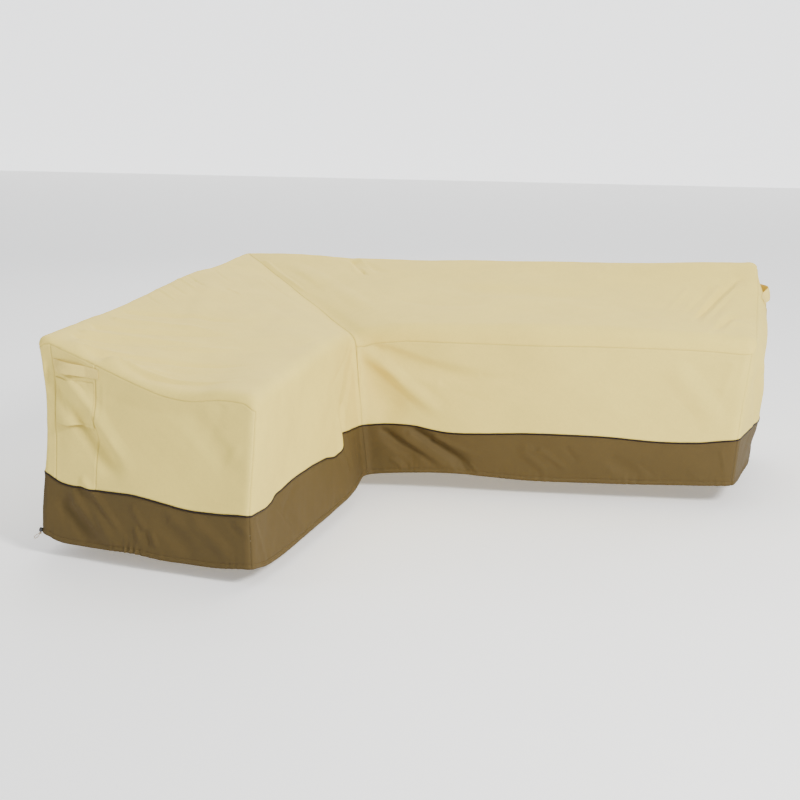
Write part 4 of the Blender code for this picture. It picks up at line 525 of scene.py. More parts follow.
GATHERS = (
    Gather("left_end", 0.28, 0.58, 0.0024),
    Gather("left_end", 0.02, 0.14, 0.0014),
    Gather("left_end", 0.76, 0.90, 0.0012),
    Gather("inner_short", 0.00, 0.16, 0.0014),
    Gather("inner_short", 1.00, 1.24, 0.0024),
    Gather("long_front", 0.02, 0.30, 0.0014),
    Gather("long_front", 0.52, 1.40, 0.0010),
    Gather("long_front", 1.40, 1.62, 0.0014),
    Gather("right_end", 0.05, 0.85, 0.0018),
    Gather("long_back", 0.10, 0.70, 0.0020),
    Gather("long_back", 1.50, 2.20, 0.0022),
    Gather("outer_short", 0.20, 0.80, 0.0020),
    Gather("outer_short", 1.20, 1.80, 0.0018),
)
GATHER_FADE = 0.05          # length over which a bunch of gathers starts and ends
GATHER_PITCH = 0.031        # about, from one gather to the next

# Slow waves of the cloth, and small ones that keep it from looking ironed.
Wave = namedtuple("Wave", "height length way phase")
WAVES = (
    Wave(0.0011, 0.410, (1.0, 0.3, 0.5), 0.4), Wave(0.0009, 0.270, (-0.4, 1.0, 0.6), 1.9),
    Wave(0.0007, 0.190, (0.7, -0.8, 0.9), 3.1), Wave(0.0005, 0.128, (0.2, 0.9, -1.1), 0.7),
    Wave(0.00020, 0.071, (1.0, 0.8, -0.5), 0.2), Wave(0.00017, 0.052, (-0.7, 1.0, 0.9), 2.3),
    Wave(0.00013, 0.039, (0.4, -1.0, 0.8), 4.0), Wave(0.00010, 0.027, (1.0, -0.2, 1.1), 5.1),
)

# Sewn-on pieces of the two ends; distances run inwards from the outer corner of the end.
SEWN_CLEARANCE = 0.0017     # between a sewn-on piece and the cloth that it lies on
HANDLE_START = 0.067
HANDLE_END = 0.262
HANDLE_WIDTH = 0.045
SEWN_START = 0.014          # of the handle, sewn down at its outer end
SEWN_END = 0.056            # and under the stitched box at its inner end
HANDLE_STITCH = 0.004       # distance of its stitches from its ends
HANDLE_EDGE_STITCH, HANDLE_EDGE_WIDTH = 0.0045, 0.0012      # and from its edges
STITCH_DEPTH, STITCH_WIDTH = 0.0005, 0.0013
CROSS_DEPTH, CROSS_WIDTH = 0.0004, 0.035        # of the slanting seams in the box
HANDLE_CELL, HANDLE_END_STEPS = 0.003, (0.001, 0.0022)
HANDLE_ROW, HANDLE_EDGE_STEPS = 0.055, (0.02, 0.045)        # shares of its width
PAD_EDGE, PAD_RISE = 0.0011, 0.0021     # thickness at its edges, and how much more between them
PAD_SEWN = 0.45             # share of the rise that is left where it is sewn down
VENT_SIDE_MARGIN = 0.004
VENT_THICKNESS = 0.0013
VENT_LIP, VENT_LIP_DEPTH = 0.0009, 0.012
VENT_LIP_GROOVE, VENT_LIP_SEAM = 0.0005, 0.0125
VENT_GROOVE, VENT_GROOVE_WIDTH = 0.0004, 0.0015
VENT_STITCH = 0.004         # distance of its stitches from its edges
VENT_PUCKER = 0.0005
VENT_LOWEST = -0.0004       # the flap lies at most this far below its clearance
VENT_CELL, VENT_SIDE_STEPS = 0.005, (0.0012, 0.003)
VENT_ROW, VENT_EDGE_STEPS = 0.034, (0.008, 0.02)            # shares of its height
EndPieces = namedtuple("EndPieces", "side wall handle_bulge vent_bulge")
END_PIECES = (
    EndPieces("left", 1, 0.0115, 0.0130),
    EndPieces("right", 4, 0.0270, 0.0300),
)

# The drawcord's end.
CORD_DIAMETER = 0.0024
CORD_SIDES = 12
CORD_SPACING = 0.0011       # between the points along the loop
ROUTE_STEPS = 16            # of the curve between two points of its route
CORD_SIDE = (0.31, 0.22, 0.92)          # its map's first side is square to this and to the cord
KNOT_CORD = 0.0036          # the knot is tied in the doubled cord
KNOT_POINTS = 96
KNOT_REACH, KNOT_WAVE, KNOT_RISE = 0.0021, 0.0011, 0.0019
LOCK_SIDES = 40
LOCK_SHARP = 35.0           # edges that turn by more degrees than this are sharp,
CLOTH_SHARP = 50.0          # and on a cloth this
LOCK_PROFILE = (            # distance along the lock's axis, radius
    (-0.0085, 0.0000), (-0.0085, 0.0042), (-0.0079, 0.0050), (-0.0058, 0.0052), (-0.0053, 0.0046),
    (-0.0046, 0.0046), (-0.0041, 0.0066), (-0.0030, 0.0074), (0.0030, 0.0074), (0.0052, 0.0070),
    (0.0074, 0.0058), (0.0085, 0.0042), (0.0085, 0.0020), (0.0078, 0.0018), (0.0078, 0.0000),
)
LOOP_WAY = Vector((-0.740, -0.125, -0.661))     # the loop hangs out and down from its knot
LOOP_SIDE = Vector((-0.652, -0.110, 0.750))
LOOP_ROUTE = (              # distance along and aside from the middle of the knot
    (0.0051, -0.0016), (0.0100, -0.0030), (0.0150, -0.0042), (0.0200, -0.0047),
    (0.0250, -0.0044), (0.0288, -0.0028), (0.0302, 0.0000), (0.0288, 0.0028),
    (0.0250, 0.0044), (0.0200, 0.0047), (0.0150, 0.0042), (0.0100, 0.0030), (0.0051, 0.0016),
)

# What each cloth was cut to: flat width and length, and flat area, in metres.
Flat = namedtuple("Flat", "width length area held hangs_from")
FLAT_SIZES = {
    "top_long": Flat(2.375, 1.215, 1.994, "draped", ()),
    "top_short": Flat(1.970, 1.550, 2.000, "draped", ()),
    "panel_outer_short": Flat(2.010, 0.541, 1.021, "hung", ("top_short",)),
    "strip_left": Flat(0.200, 0.520, 0.096, "hung", ("top_short",)),
    "panel_end_left": Flat(0.686, 0.482, 0.275, "hung", ("top_short",)),
    "panel_long_front": Flat(1.635, 0.395, 0.606, "hung", ("top_long",)),
    "panel_end_right": Flat(0.675, 0.510, 0.289, "hung", ("top_long",)),
    "strip_right": Flat(0.202, 0.572, 0.101, "hung", ("top_long",)),
    "panel_long_back": Flat(2.435, 0.575, 1.320, "hung", ("top_long",)),
    "skirt_outer_short": Flat(1.990, 0.240, 0.431, "gathered", ("panel_outer_short",)),
    "skirt_left_end": Flat(0.920, 0.240, 0.197, "gathered", ("panel_end_left",)),
    "skirt_inner_short": Flat(1.305, 0.245, 0.277, "gathered", ("top_short",)),
    "skirt_long_front": Flat(1.575, 0.225, 0.311, "gathered", ("panel_long_front",)),
    "skirt_right_end": Flat(0.885, 0.210, 0.178, "gathered", ("panel_end_right",)),
    "skirt_long_back": Flat(2.365, 0.210, 0.483, "gathered", ("panel_long_back",)),
}

# Colours, light and camera.
BEIGE = (0.750, 0.575, 0.128)
# The walls are the same cloth as the top; their copy of the beige is painted slightly darker and less saturated, as
# painted shade.
BEIGE_SHADED_SIDE = (0.735, 0.572, 0.134)
BEIGE_HANDLE = (0.720, 0.550, 0.140)
BROWN = (0.081, 0.0530, 0.0158)
PIPING_BROWN = (0.012, 0.0055, 0.0038)
TAN = (0.34, 0.25, 0.14)
BLACK, RUBBED_BLACK = (0.010, 0.010, 0.011), (0.030, 0.030, 0.032)
CLOTH_ROUGHNESS = 0.74
CLOTH_SHEEN = 0.20          # how strongly a coated cloth mirrors its surroundings
STRAND = 0.0016             # pitch of the cord's braid
WORLD_STRENGTH = 0.62
WORLD_TINT = (0.88, 0.945, 1.05)
BACKDROP_GLOW = 1.45
FLOOR_GLOW = 0.32
FLOOR_WHITE = (0.91, 0.895, 0.865)
FLOOR_HALF_SIDE = 12.0
FLOOR_PLACE = (0.7, 0.5, -ORIGIN[2])
BACKDROP_PLACE = (0.7, 11.0, 10.0)
LIGHT_TARGET = (0.7, -0.6, 0.0)
Light = namedtuple("Light", "name place width height power")
LIGHTS = (
    Light("key", (5.6, -5.2, 4.2), 1.8, 1.8, 1000.0),
    Light("overhead", (0.6, 0.4, 3.4), 3.5, 2.5, 70.0),
    Light("left", (-4.2, -2.6, 1.8), 2.6, 2.2, 60.0),
    Light("behind", (-1.0, 4.6, 2.4), 3.6, 2.4, 60.0),
)
CAMERA_PLACE = (2.049, -7.782, 2.112)           # in the plan's frame
CAMERA_TURN = (76.2, -0.18, 9.56)
CAMERA_LENS, CAMERA_SENSOR, CAMERA_REACH = 77.33, 36.0, 60.0

WALL_COUNT = len(WALLS)


# ---------------------------------------------------------------- tables to curves
def corner(name, level):
    """The place of a sharp corner at one level."""
    return np.array(getattr(CORNERS[name], level), float)


def wall_line(k):
    """From the start to the end of wall k, along its top edge."""
    return corner(WALLS[k].end, "top") - corner(WALLS[k].start, "top")


def outward(k):
    """Level direction that faces outwards on wall k."""
    line = wall_line(k)
    direction = np.array((line[1], -line[0], 0.0))
    return direction / np.linalg.norm(direction)


LENGTHS = [float(np.hypot(*wall_line(k)[:2])) for k in range(WALL_COUNT)]
OUTWARD = [outward(k) for k in range(WALL_COUNT)]


def smoothstep(x):
    x = np.clip(x, 0.0, 1.0)
    return x * x * (3.0 - 2.0 * x)


def gauss(x):
    return np.exp(-x * x)


def section_value(k, f, column):
    """Smooth curve through one column of a wall's sections, zero at both corners."""
    rows = WALLS[k].sections
    xs = np.array([0.0] + [row.along / LENGTHS[k] for row in rows] + [1.0])
    ys = np.array([0.0] + [getattr(row, column) for row in rows] + [0.0])
    slopes = np.gradient(ys, xs)
    slopes[0] = slopes[-1] = 0.0
    cell = np.clip(np.searchsorted(xs, f, side="right") - 1, 0, len(xs) - 2)
    span = xs[cell + 1] - xs[cell]
    t = np.clip((f - xs[cell]) / span, 0.0, 1.0)
    start = (2 * t**3 - 3 * t**2 + 1) * ys[cell] + (t**3 - 2 * t**2 + t) * span * slopes[cell]
    end = (-2 * t**3 + 3 * t**2) * ys[cell + 1] + (t**3 - t**2) * span * slopes[cell + 1]
    return start + end


def edge(k, f, level):
    """Places on wall k at one level, with sharp corners, for an array of shares f."""
    f = np.atleast_1d(np.asarray(f, float))
    start = corner(WALLS[k].start, level)
    end = corner(WALLS[k].end, level)
    line = start + (end - start) * f[:, None]
    out = section_value(k, f, level + "_out")
    up = section_value(k, f, level + "_up")
    return line + OUTWARD[k] * out[:, None] + np.array((0.0, 0.0, 1.0)) * up[:, None]


def on_walls(u):
    """For each wall that holds some plan places u: its number, which they are, their shares."""
    u = np.mod(np.atleast_1d(np.asarray(u, float)), WALL_COUNT)
    walls = np.minimum(np.floor(u + 1e-9).astype(int), WALL_COUNT - 1)
    for k in np.unique(walls):
        here = walls == k
        yield int(k), here, u[here] - k


def corners_of(k, f):
    """Both corners of wall k: whether it starts there, and how far the shares f are from it."""
    yield WALLS[k].start, (k - 1) % WALL_COUNT, True, f * LENGTHS[k]
    yield WALLS[k].end, (k + 1) % WALL_COUNT, False, (1.0 - f) * LENGTHS[k]


def count_of(u):
    return len(np.atleast_1d(u))


def ring(u, level):
    """The rounded line round the plan at one level."""
    places = np.zeros((count_of(u), 3))
    for k, here, f in on_walls(u):
        line = edge(k, f, level)
        for name, other, at_start, distance in corners_of(k, f):
            radius = CORNERS[name].radius
            own_share = radius / LENGTHS[k]
            other_share = radius / LENGTHS[other]
            own = edge(k, own_share if at_start else 1.0 - own_share, level)
            across = edge(other, 1.0 - other_share if at_start else other_share, level)
            t = (0.5 + 0.5 * distance / radius)[:, None]
            bend = (1 - t) ** 2 * across + 2 * t * (1 - t) * corner(name, level) + t**2 * own
            line = np.where((distance < radius)[:, None], bend, line)
        places[here] = line
    return places


def facing(u):
    """Level outward directions, turning smoothly round each corner."""
    result = np.zeros((count_of(u), 3))
    for k, here, f in on_walls(u):
        direction = np.repeat(OUTWARD[k][None, :], len(f), axis=0)
        for name, other, _, distance in corners_of(k, f):
            t = np.clip(distance / CORNERS[name].radius, 0.0, 1.0)[:, None]
            middle = OUTWARD[k] + OUTWARD[other]
            middle = middle / np.linalg.norm(middle)
            direction = direction * t + middle * (1.0 - t)
        result[here] = direction / np.linalg.norm(direction, axis=1)[:, None]
    return result


# ---------------------------------------------------------------- folds and creases
def near_line(x, y, line):
    """Distance from (x, y) to a line bent over three places, and how far along it that is."""
    start, bend, end = line
    t = np.linspace(0.0, 1.0, LINE_STEPS + 1)[:, None]
    line = (1 - t) ** 2 * start + 2 * t * (1 - t) * bend + t**2 * end
    best = np.full(x.shape, np.inf)
    where = np.zeros(x.shape)
    for n, (low, high) in enumerate(zip(line, line[1:])):
        step = high - low
        along = ((x - low[0]) * step[0] + (y - low[1]) * step[1]) / (step @ step)
        along = np.clip(along, 0.0, 1.0)
        gap = np.hypot(x - low[0] - along * step[0], y - low[1] - along * step[1])
        closer = gap < best
        best = np.where(closer, gap, best)
        where = np.where(closer, (n + along) / LINE_STEPS, where)
    return best, where


def fold_line(fold, scale=(1.0, 1.0)):
    line = ((fold.from_x, fold.from_y), (fold.bend_x, fold.bend_y), (fold.to_x, fold.to_y))
    return np.array(line) * scale


def fold_height(x, y, fold, scale=(1.0, 1.0)):
    """Height of one fold: rounded across, fading in and out at its ends."""
    distance, along = near_line(x, y, fold_line(fold, scale))
    across = np.clip(1.0 - (distance / fold.width) ** 2, 0.0, None) ** 2
    rise = smoothstep(along / FOLD_START) * smoothstep((1.0 - along) / FOLD_END)
    return fold.height * across * rise


def creases(rows, x, y):
    """Total height of short creases at places (x, y): each has a narrow crest."""
    total = np.zeros(x.shape)
    for row in rows:
        line = fold_line(row)
        (low_x, low_y), (high_x, high_y) = line.min(0) - row.width, line.max(0) + row.width
        close = (x > low_x) & (x < high_x) & (y > low_y) & (y < high_y)
        if close.any():
            gap, along = near_line(x[close], y[close], line)
            crest = CREASE_CREST * row.width
            reach = (np.sqrt(gap * gap + crest * crest) - crest) / row.width
            across = np.clip(1.0 - reach, 0.0, None) ** 2
            rise = smoothstep(along / CREASE_START) * smoothstep((1.0 - along) / CREASE_END)
            total[close] += row.height * across * rise
    return total


def wall_folds(u, z):
    """Total height of folds and creases at plan places u and heights z."""
    total = np.zeros(count_of(u))
    for k, here, f in on_walls(u):
        name, x, up = WALLS[k].name, f * LENGTHS[k], z[here]
        height = sum(fold_height(x, up, fold) for fold in WALL_FOLDS[name])
        from_corner = np.minimum(x, LENGTHS[k] - x)
        height = height * smoothstep(from_corner / CORNER_CALM)
        short = creases(WALL_CREASES.get(name, ()), x, up)
        total[here] = height + short * smoothstep(from_corner / CREASE_CORNER)
    return total


def top_folds(wing, g, q):
    """Fold height on a wing's top, faded out towards its edges."""
    length, depth = LENGTHS[wing.outer], LENGTHS[wing.end]
    x, y = g * length, q * depth
    total = sum(fold_height(x, y, fold, (length, depth)) for fold in TOP_FOLDS[wing.name])
    rim = np.minimum(np.minimum(q, 1.0 - q) * depth, (1.0 - g) * length)
    total = total * smoothstep(rim / RIM_CALM) * smoothstep(x / MITRE_CALM)
    return total + creases(TOP_CREASES[wing.name], x, y) * smoothstep(rim / CREASE_RIM)


# ---------------------------------------------------------------- places on the walls
def fullness(u):
    """How far the upper wall bellies and shoulders out at plan places u."""
    belly = np.zeros(count_of(u))
    shoulder = np.zeros(count_of(u))
    for k, here, f in on_walls(u):
        bulge = section_value(k, f, "belly")
        for name, _, _, distance in corners_of(k, f):
            bulge = bulge + CORNERS[name].waist * (1.0 - smoothstep(distance / WAIST_REACH))
        belly[here] = bulge
        shoulder[here] = section_value(k, f, "shoulder")
    return belly, shoulder


def between(u, h, low_level, high_level):
    """Places at the share h of the way from one level up to another, and h for each of them."""
    low, high = ring(u, low_level), ring(u, high_level)
    h = np.broadcast_to(np.asarray(h, float), (len(low),))
    return low + (high - low) * h[:, None], h


def upper_place(u, h):
    """Upper wall: h is 0 at the piping and 1 at the sharp top edge."""
    place, h = between(u, h, "piping", "top")
    belly, shoulder = fullness(u)
    rise = (h / SHOULDER_H) ** SHOULDER_RISE
    fall = (np.clip(1.0 - h, 0.0, 1.0) / (1.0 - SHOULDER_H)) ** SHOULDER_FALL
    hump = 4.0 * h * (1.0 - h)      # 0 at both seams and 1 halfway
    out = belly * hump + shoulder * rise * fall + wall_folds(u, place[:, 2])
    return place + facing(u) * out[:, None]


def level_gap(u, low_level, high_level):
    return ring(u, high_level)[:, 2] - ring(u, low_level)[:, 2]


def skirt_place(u, share):
    """Skirt, from its hem up, tucked behind the piping."""
    tuck = PIPING_TUCK / level_gap(u, "hem", "piping")
    place, _ = between(u, share * (1.0 - tuck), "hem", "piping")
    return place + facing(u) * wall_folds(u, place[:, 2])[:, None]


def seam_drop(u):
    """How far below the sharp top edge the top seam lies."""
    result = np.zeros(count_of(u))
    for k, here, f in on_walls(u):
        wall = WALLS[k]
        drop = wall.seam_start * (1.0 - f) + wall.seam_end * f + wall.seam_sag * np.sin(np.pi * f)
        for name, _, _, distance in corners_of(k, f):
            share = smoothstep(distance / ROLL_INSET)
            drop = CORNERS[name].seam_drop * (1.0 - share) + drop * share
        result[here] = drop
    return result


def seam_h(u):
    """The top seam as a share h of the upper wall."""
    return 1.0 - seam_drop(u) / level_gap(u, "piping", "top")


def wall_place(u, share):
    """Upper wall at a share of the way from the top seam to the piping, tucked behind it."""
    tuck = PIPING_TUCK / level_gap(u, "piping", "top")
    return upper_place(u, seam_h(u) * (1.0 - share) * (1.0 - tuck) + tuck)


# ---------------------------------------------------------------- places on the tops
def outer_share(wing, share):
    """Share along the outer or end wall for a share from the mitre or from the outer edge."""
    return share if wing.mitre_is_outer_start else 1.0 - share


def inner_share(wing, share):
    return 1.0 - share if wing.mitre_is_outer_start else share


def top_place(wing, g_outer, g_inner, q):
    """Top of a wing: g runs from the mitre to the end, q from the outer to the inner edge."""
    g_outer, g_inner, q = (np.atleast_1d(np.asarray(a, float)) for a in (g_outer, g_inner, q))
    across = q[:, None]
    outer = edge(wing.outer, outer_share(wing, g_outer), "top")
    inner = edge(wing.inner, inner_share(wing, g_inner), "top")
    place = outer * (1.0 - across) + inner * across
    g = g_outer * (1.0 - q) + g_inner * q
    end_outer, end_inner = (edge(wing.end, outer_share(wing, q), "top") for q in (0.0, 1.0))
    end_line = end_outer * (1.0 - across) + end_inner * across
    end_bow = edge(wing.end, outer_share(wing, q), "top") - end_line
    place += end_bow * smoothstep((g - BOW_START) / (1.0 - BOW_START))[:, None]
    place[:, 2] -= TOP_SAG * np.sin(np.pi * q) * np.sin(np.pi * np.clip(g, 0.0, 1.0))
    place[:, 2] += top_folds(wing, g, q)
    return place


def inset_share(wing, g_outer, g_inner):
    """ROLL_INSET as a share of the wing's depth at g."""
    outer = edge(wing.outer, outer_share(wing, g_outer), "top")
    inner = edge(wing.inner, inner_share(wing, g_inner), "top")
    return ROLL_INSET / np.linalg.norm(outer - inner, axis=1)


def wing_shares(wing):
    """Shares g of the outer and inner walls' cells, from the mitre to the end."""
    return (np.sort(outer_share(wing, wall_stations(wing.outer))),
            np.sort(inner_share(wing, wall_stations(wing.inner))))


def past_roll(q, q_in, zone):
    """Share across a top inside its soft folds, for a share along the end wall."""
    return q_in + (1.0 - 2.0 * q_in) * np.clip((q - zone) / (1.0 - 2.0 * zone), 0.0, 1.0)


def inset_place(u):
    """Where the soft fold of the top edge starts on the top, for plan places u."""
    places = np.zeros((count_of(u), 3))
    for k, here, f in on_walls(u):
        wing = LONG_WING if k in (LONG_WING.outer, LONG_WING.inner, LONG_WING.end) else SHORT_WING
        outer_shares, inner_shares = wing_shares(wing)
        last_outer, last_inner = (1.0 - ROLL_INSET / LENGTHS[w] for w in (wing.outer, wing.inner))
        if k == wing.end:
            g_outer = np.full(len(f), last_outer)
            g_inner = np.full(len(f), last_inner)
            q_in = inset_share(wing, g_outer, g_inner)
            q = past_roll(outer_share(wing, f), q_in, ROLL_INSET / LENGTHS[k])
        elif k == wing.outer:
            g_outer = np.minimum(outer_share(wing, f), last_outer)
            g_inner = np.interp(g_outer, outer_shares, inner_shares)
            q = inset_share(wing, g_outer, g_inner)
        else:
            g_inner = np.minimum(inner_share(wing, f), last_inner)
            g_outer = np.interp(g_inner, inner_shares, outer_shares)
            q = 1.0 - inset_share(wing, g_outer, g_inner)
        places[here] = top_place(wing, g_outer, g_inner, q)
    return places


def roll_place(u, m):
    """The soft fold over the top edge: m is 0 on the top and 1 at the top seam."""
    m = m[:, None]
    start = inset_place(u)
    crest = ring(u, "top")
    seam = upper_place(u, seam_h(u))
    return (1 - m) ** 2 * start + 2 * m * (1 - m) * crest + m**2 * seam


# ---------------------------------------------------------------- cells
def wall_stations(k):
    """Shares along wall k where the solids' cells begin and end."""
    places = [ROLL_INSET]
    for run in WALLS[k].cells:
        to = run.to if run.to > 0.0 else LENGTHS[k] + run.to
        places.extend(np.linspace(places[-1], to, run.count + 1)[1:])
    zone = np.arange(ZONE_STEPS) / ZONE_STEPS * ROLL_INSET / LENGTHS[k]
    return np.concatenate((zone, np.array(places) / LENGTHS[k], 1.0 - zone[::-1]))


def stations(start_u, end_u):
    """All plan places from start_u to end_u where those cells begin, each once."""
    places = np.concatenate([k + wall_stations(k) for k in range(WALL_COUNT)])
    places = np.unique(np.round(places, 9))
    inside = places[(places > start_u + TINY) & (places < end_u - TINY)]
    return np.concatenate(((start_u,), inside, (end_u,)))


def refine(shares, size):
    """Every cell between shares cut evenly into cells of about size, in the same unit."""
    fine = [shares[0]]
    for low, high in zip(shares, shares[1:]):
        count = max(1, round(abs(high - low) / size))
        fine.extend(np.linspace(low, high, count + 1)[1:])
    return np.array(fine)


def close_in(values, steps):
    """values with extra places at the given steps inside both ends."""
    low, high = values[0], values[-1]
    room = steps[-1] * EDGE_ROOM
    inner = values[(values > low + room) & (values < high - room)]
    steps = np.array(steps)
    return np.concatenate(((low,), low + steps, inner, high - steps[::-1], (high,)))


def even(low, high, size):
    return refine(np.array((low, high)), size)


def wall_columns(start_u, end_u):
    """Plan places of a wall panel's columns, denser beside its upright seams."""
    places = stations(start_u, end_u)
    metres = [0.0]
    for low, high in zip(places, places[1:]):
        k = int(np.floor((low + high) / 2)) % WALL_COUNT
        metres.append(metres[-1] + (high - low) * LENGTHS[k])
    return np.interp(close_in(refine(metres, CELL), EDGE_STEPS), metres, places)


def wall_rows(height):
    """Shares of the way down a wall's cloth, denser at its seams."""
    return close_in(even(0.0, 1.0, CELL / height), np.array(EDGE_STEPS) / height)


def skirt_rows():
    """Shares of the way up the skirt, denser in the hem's channel and at the piping."""
    upper = even(HEM_END, SKIRT_HEIGHT - SKIRT_END, CELL)
    seam_rows = SKIRT_HEIGHT - np.array(EDGE_STEPS)[::-1]
    return np.concatenate((HEM_STEPS, upper, seam_rows, (SKIRT_HEIGHT,))) / SKIRT_HEIGHT


def grid_of(place_at, u, rows):
    """Places of a grid: one column for each u, one row for each entry of rows."""
    return np.stack([place_at(u, row) for row in rows], axis=1)


def walk(points):
    """How far along a line each of its points is."""
    steps = np.linalg.norm(np.diff(points, axis=0), axis=-1)
    return np.concatenate((np.zeros((1, *steps.shape[1:])), np.cumsum(steps, axis=0)))


def gaps(places):
    """Distances of each grid point from the grid's four edges, along the cloth."""
    first = walk(places)
    top = walk(places.swapaxes(0, 1)).T
    return first, first[-1:] - first, top, top[:, -1:] - top


def normals_of(places, guide):
    """Directions across the cloth, on the side that guide points to."""
    across = np.cross(np.gradient(places, axis=0), np.gradient(places, axis=1))
    across /= np.linalg.norm(across, axis=2)[..., None] + 1e-12
    side = np.sign(np.mean(np.sum(across * guide, axis=2)))
    return across * side


def wall_guide(u, rows):
    """Outward directions for a grid on the walls."""
    return np.repeat(facing(u)[:, None], len(rows), axis=1)


def waves(places):
    """Sum of the slow and small waves through space."""
    total = np.zeros(places.shape[:-1])
    for wave in WAVES:
        way = np.array(wave.way) / np.linalg.norm(wave.way)
        total += wave.height * np.sin(2.0 * math.pi * (places @ way) / wave.length + wave.phase)
    return total


def seam_shape(distance, along, seed):
    """Groove at a seam, the soft lip beside it, and the small puckers of its stitching."""
    groove = SEAM_GROOVE * gauss(distance / SEAM_GROOVE_WIDTH)
    lip = SEAM_LIP * gauss((distance - SEAM_LIP_PLACE) / SEAM_LIP_WIDTH)
    wobble = along / 0.021 + 1.3 * np.sin(along / 0.083 + seed)
    wobble += 0.9 * np.sin(along / 0.190 + 2 * seed)
    pucker = np.sin(2.0 * np.pi * wobble) * np.exp(-distance / SEAM_PUCKER_REACH)
    return lip - groove + SEAM_PUCKER * pucker


def cloth_shape(places, edges, seed):
    """Height of the fine relief over a grid; edges tells which of its four edges are sewn."""
    first, last, top, foot = gaps(places)
    height = waves(places)
    for sewn, distance, along in zip(edges, (first, last, top, foot), (top, top, first, first)):
        if sewn:
            height = height + seam_shape(distance, along, seed)
    return height

# ---------------------------------------------------------------- making objects
def add_object(name, data, paint):
    item = bpy.data.objects.new(name, data)
    data.materials.append(paint)
    bpy.context.scene.collection.objects.link(item)
    return item


def finished(name, builder, paint, sharp=180.0):
    """The builder's shape as a smooth object, with edges above the sharp angle left sharp."""
    bmesh.ops.recalc_face_normals(builder, faces=builder.faces[:])
    mesh = bpy.data.meshes.new(name)
    builder.to_mesh(mesh)
    builder.free()
    mesh.shade_smooth()
    if sharp < 180.0:
        mesh.set_sharp_from_angle(angle=math.radians(sharp))
    return add_object(name, mesh, paint)


def stand_for(item, node, slot_name):
    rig.ride(item, "root")
    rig.replaces(item, node)
    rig.slot(item, slot_name)
    return item


def cloth_maps(outer):
    """Two maps for a grid, in metres.

    The first, cloth, runs along and down it.  The second, seam, is the distance from the nearest
    edge, and the way along that edge.
    """
    first, last, top, foot = gaps(outer)
    distances = np.stack((first, last, top, foot))
    way = np.choose(np.argmin(distances, axis=0), (top, top, first, first))
    return {"cloth": np.stack((first, top), axis=-1),
            "seam": np.stack((np.min(distances, axis=0), way), axis=-1)}


def cloth_object(name, outer, inner, paint):
    """A grid laid on the outer places and thickened to the inner places, as one closed body."""
    columns, rows = outer.shape[0] - 1, outer.shape[1] - 1
    sheet = bmesh.new()
    bmesh.ops.create_grid(sheet, x_segments=columns, y_segments=rows, size=0.5)
    copied = bmesh.ops.extrude_face_region(sheet, geom=sheet.faces[:], use_keep_orig=True)["geom"]
    bmesh.ops.translate(sheet, vec=(0.0, 0.0, -1.0),
                        verts=[e for e in copied if isinstance(e, bmesh.types.BMVert)])
    mesh = bpy.data.meshes.new(name)
    sheet.to_mesh(mesh)
    sheet.free()
    flat = np.empty(len(mesh.vertices) * 3)
    mesh.vertices.foreach_get("co", flat)
    flat = flat.reshape(-1, 3)
    i = np.rint((flat[:, 0] + 0.5) * columns).astype(int)
    j = np.rint((flat[:, 1] + 0.5) * rows).astype(int)
    places = np.where(flat[:, 2:] > -0.5, outer[i, j], inner[i, j]) - ORIGIN
    mesh.vertices.foreach_set("co", places.ravel())
    corners = np.empty(len(mesh.loops), dtype=np.int32)
    mesh.loops.foreach_get("vertex_index", corners)
    for layer, values in cloth_maps(outer).items():
        uv = mesh.uv_layers.new(name=layer)
        uv.data.foreach_set("uv", values[i[corners], j[corners]].ravel().astype(np.float32))
    mesh.update()
    check = bmesh.new()
    check.from_mesh(mesh)
    if check.calc_volume(signed=True) < 0.0:
        bmesh.ops.reverse_faces(check, faces=check.faces[:])
        check.to_mesh(mesh)
    check.free()
    mesh.shade_smooth()
    mesh.set_sharp_from_angle(angle=math.radians(CLOTH_SHARP))
    return add_object(name, mesh, paint)


def sew(node, places, guide, seed, paint, slot_name, hem=None):
    """One cloth, with its fine relief and its thickness, and open at the foot if it has a hem."""
    height = cloth_shape(places, (True, True, hem is None, True), seed)
    if hem is not None:
        height = height + hem
    outer = places + normals_of(places, guide) * height[..., None]
    inner = outer - normals_of(outer, guide) * CLOTH
    return stand_for(cloth_object("look_" + node, outer, inner, paint), node, slot_name)


# ---------------------------------------------------------------- tops, walls and skirt
def top_cells(wing):
    """Shares g of a top's columns at its outer and inner edges, and shares q of its rows."""
    coarse = [shares[:-ZONE_STEPS] for shares in wing_shares(wing)]
    metres = (coarse[0] * LENGTHS[wing.outer] + coarse[1] * LENGTHS[wing.inner]) / 2
    fine = refine(metres, CELL)
    fine = np.concatenate(((0.0,), EDGE_STEPS, fine[fine > EDGE_STEPS[-1] * EDGE_ROOM]))
    g_outer, g_inner = (np.interp(fine, metres, shares) for shares in coarse)
    q = np.sort(outer_share(wing, wall_stations(wing.end)))[ZONE_STEPS:-ZONE_STEPS]
    return g_outer, g_inner, refine(q, CELL / LENGTHS[wing.end])


def on_soft_fold(wing, cells, column, row):
    """The plan place of a column and row of a top, and how many rows down the fold it is."""
    g_outer, g_inner, q_end = cells
    straight, depth = len(g_outer) - 1, len(q_end) - 1
    past_end = max(0, column - straight)
    past_side = max(0, -row, row - depth)
    at_outer_side = row < depth / 2
    if past_side >= past_end:
        k, share_of, g = ((wing.outer, outer_share, g_outer) if at_outer_side
                          else (wing.inner, inner_share, g_inner))
        g = g[min(column, straight)]
        if past_end > 0:
            g = 1.0 - ROLL_INSET * (1.0 - past_end / past_side) / LENGTHS[k]
        return k + share_of(wing, g), past_side
    q = q_end[min(max(row, 0), depth)]
    if past_side > 0:
        inside = ROLL_INSET * (1.0 - past_side / past_end) / LENGTHS[wing.end]
        q = inside if at_outer_side else 1.0 - inside
    return wing.end + outer_share(wing, q), past_end


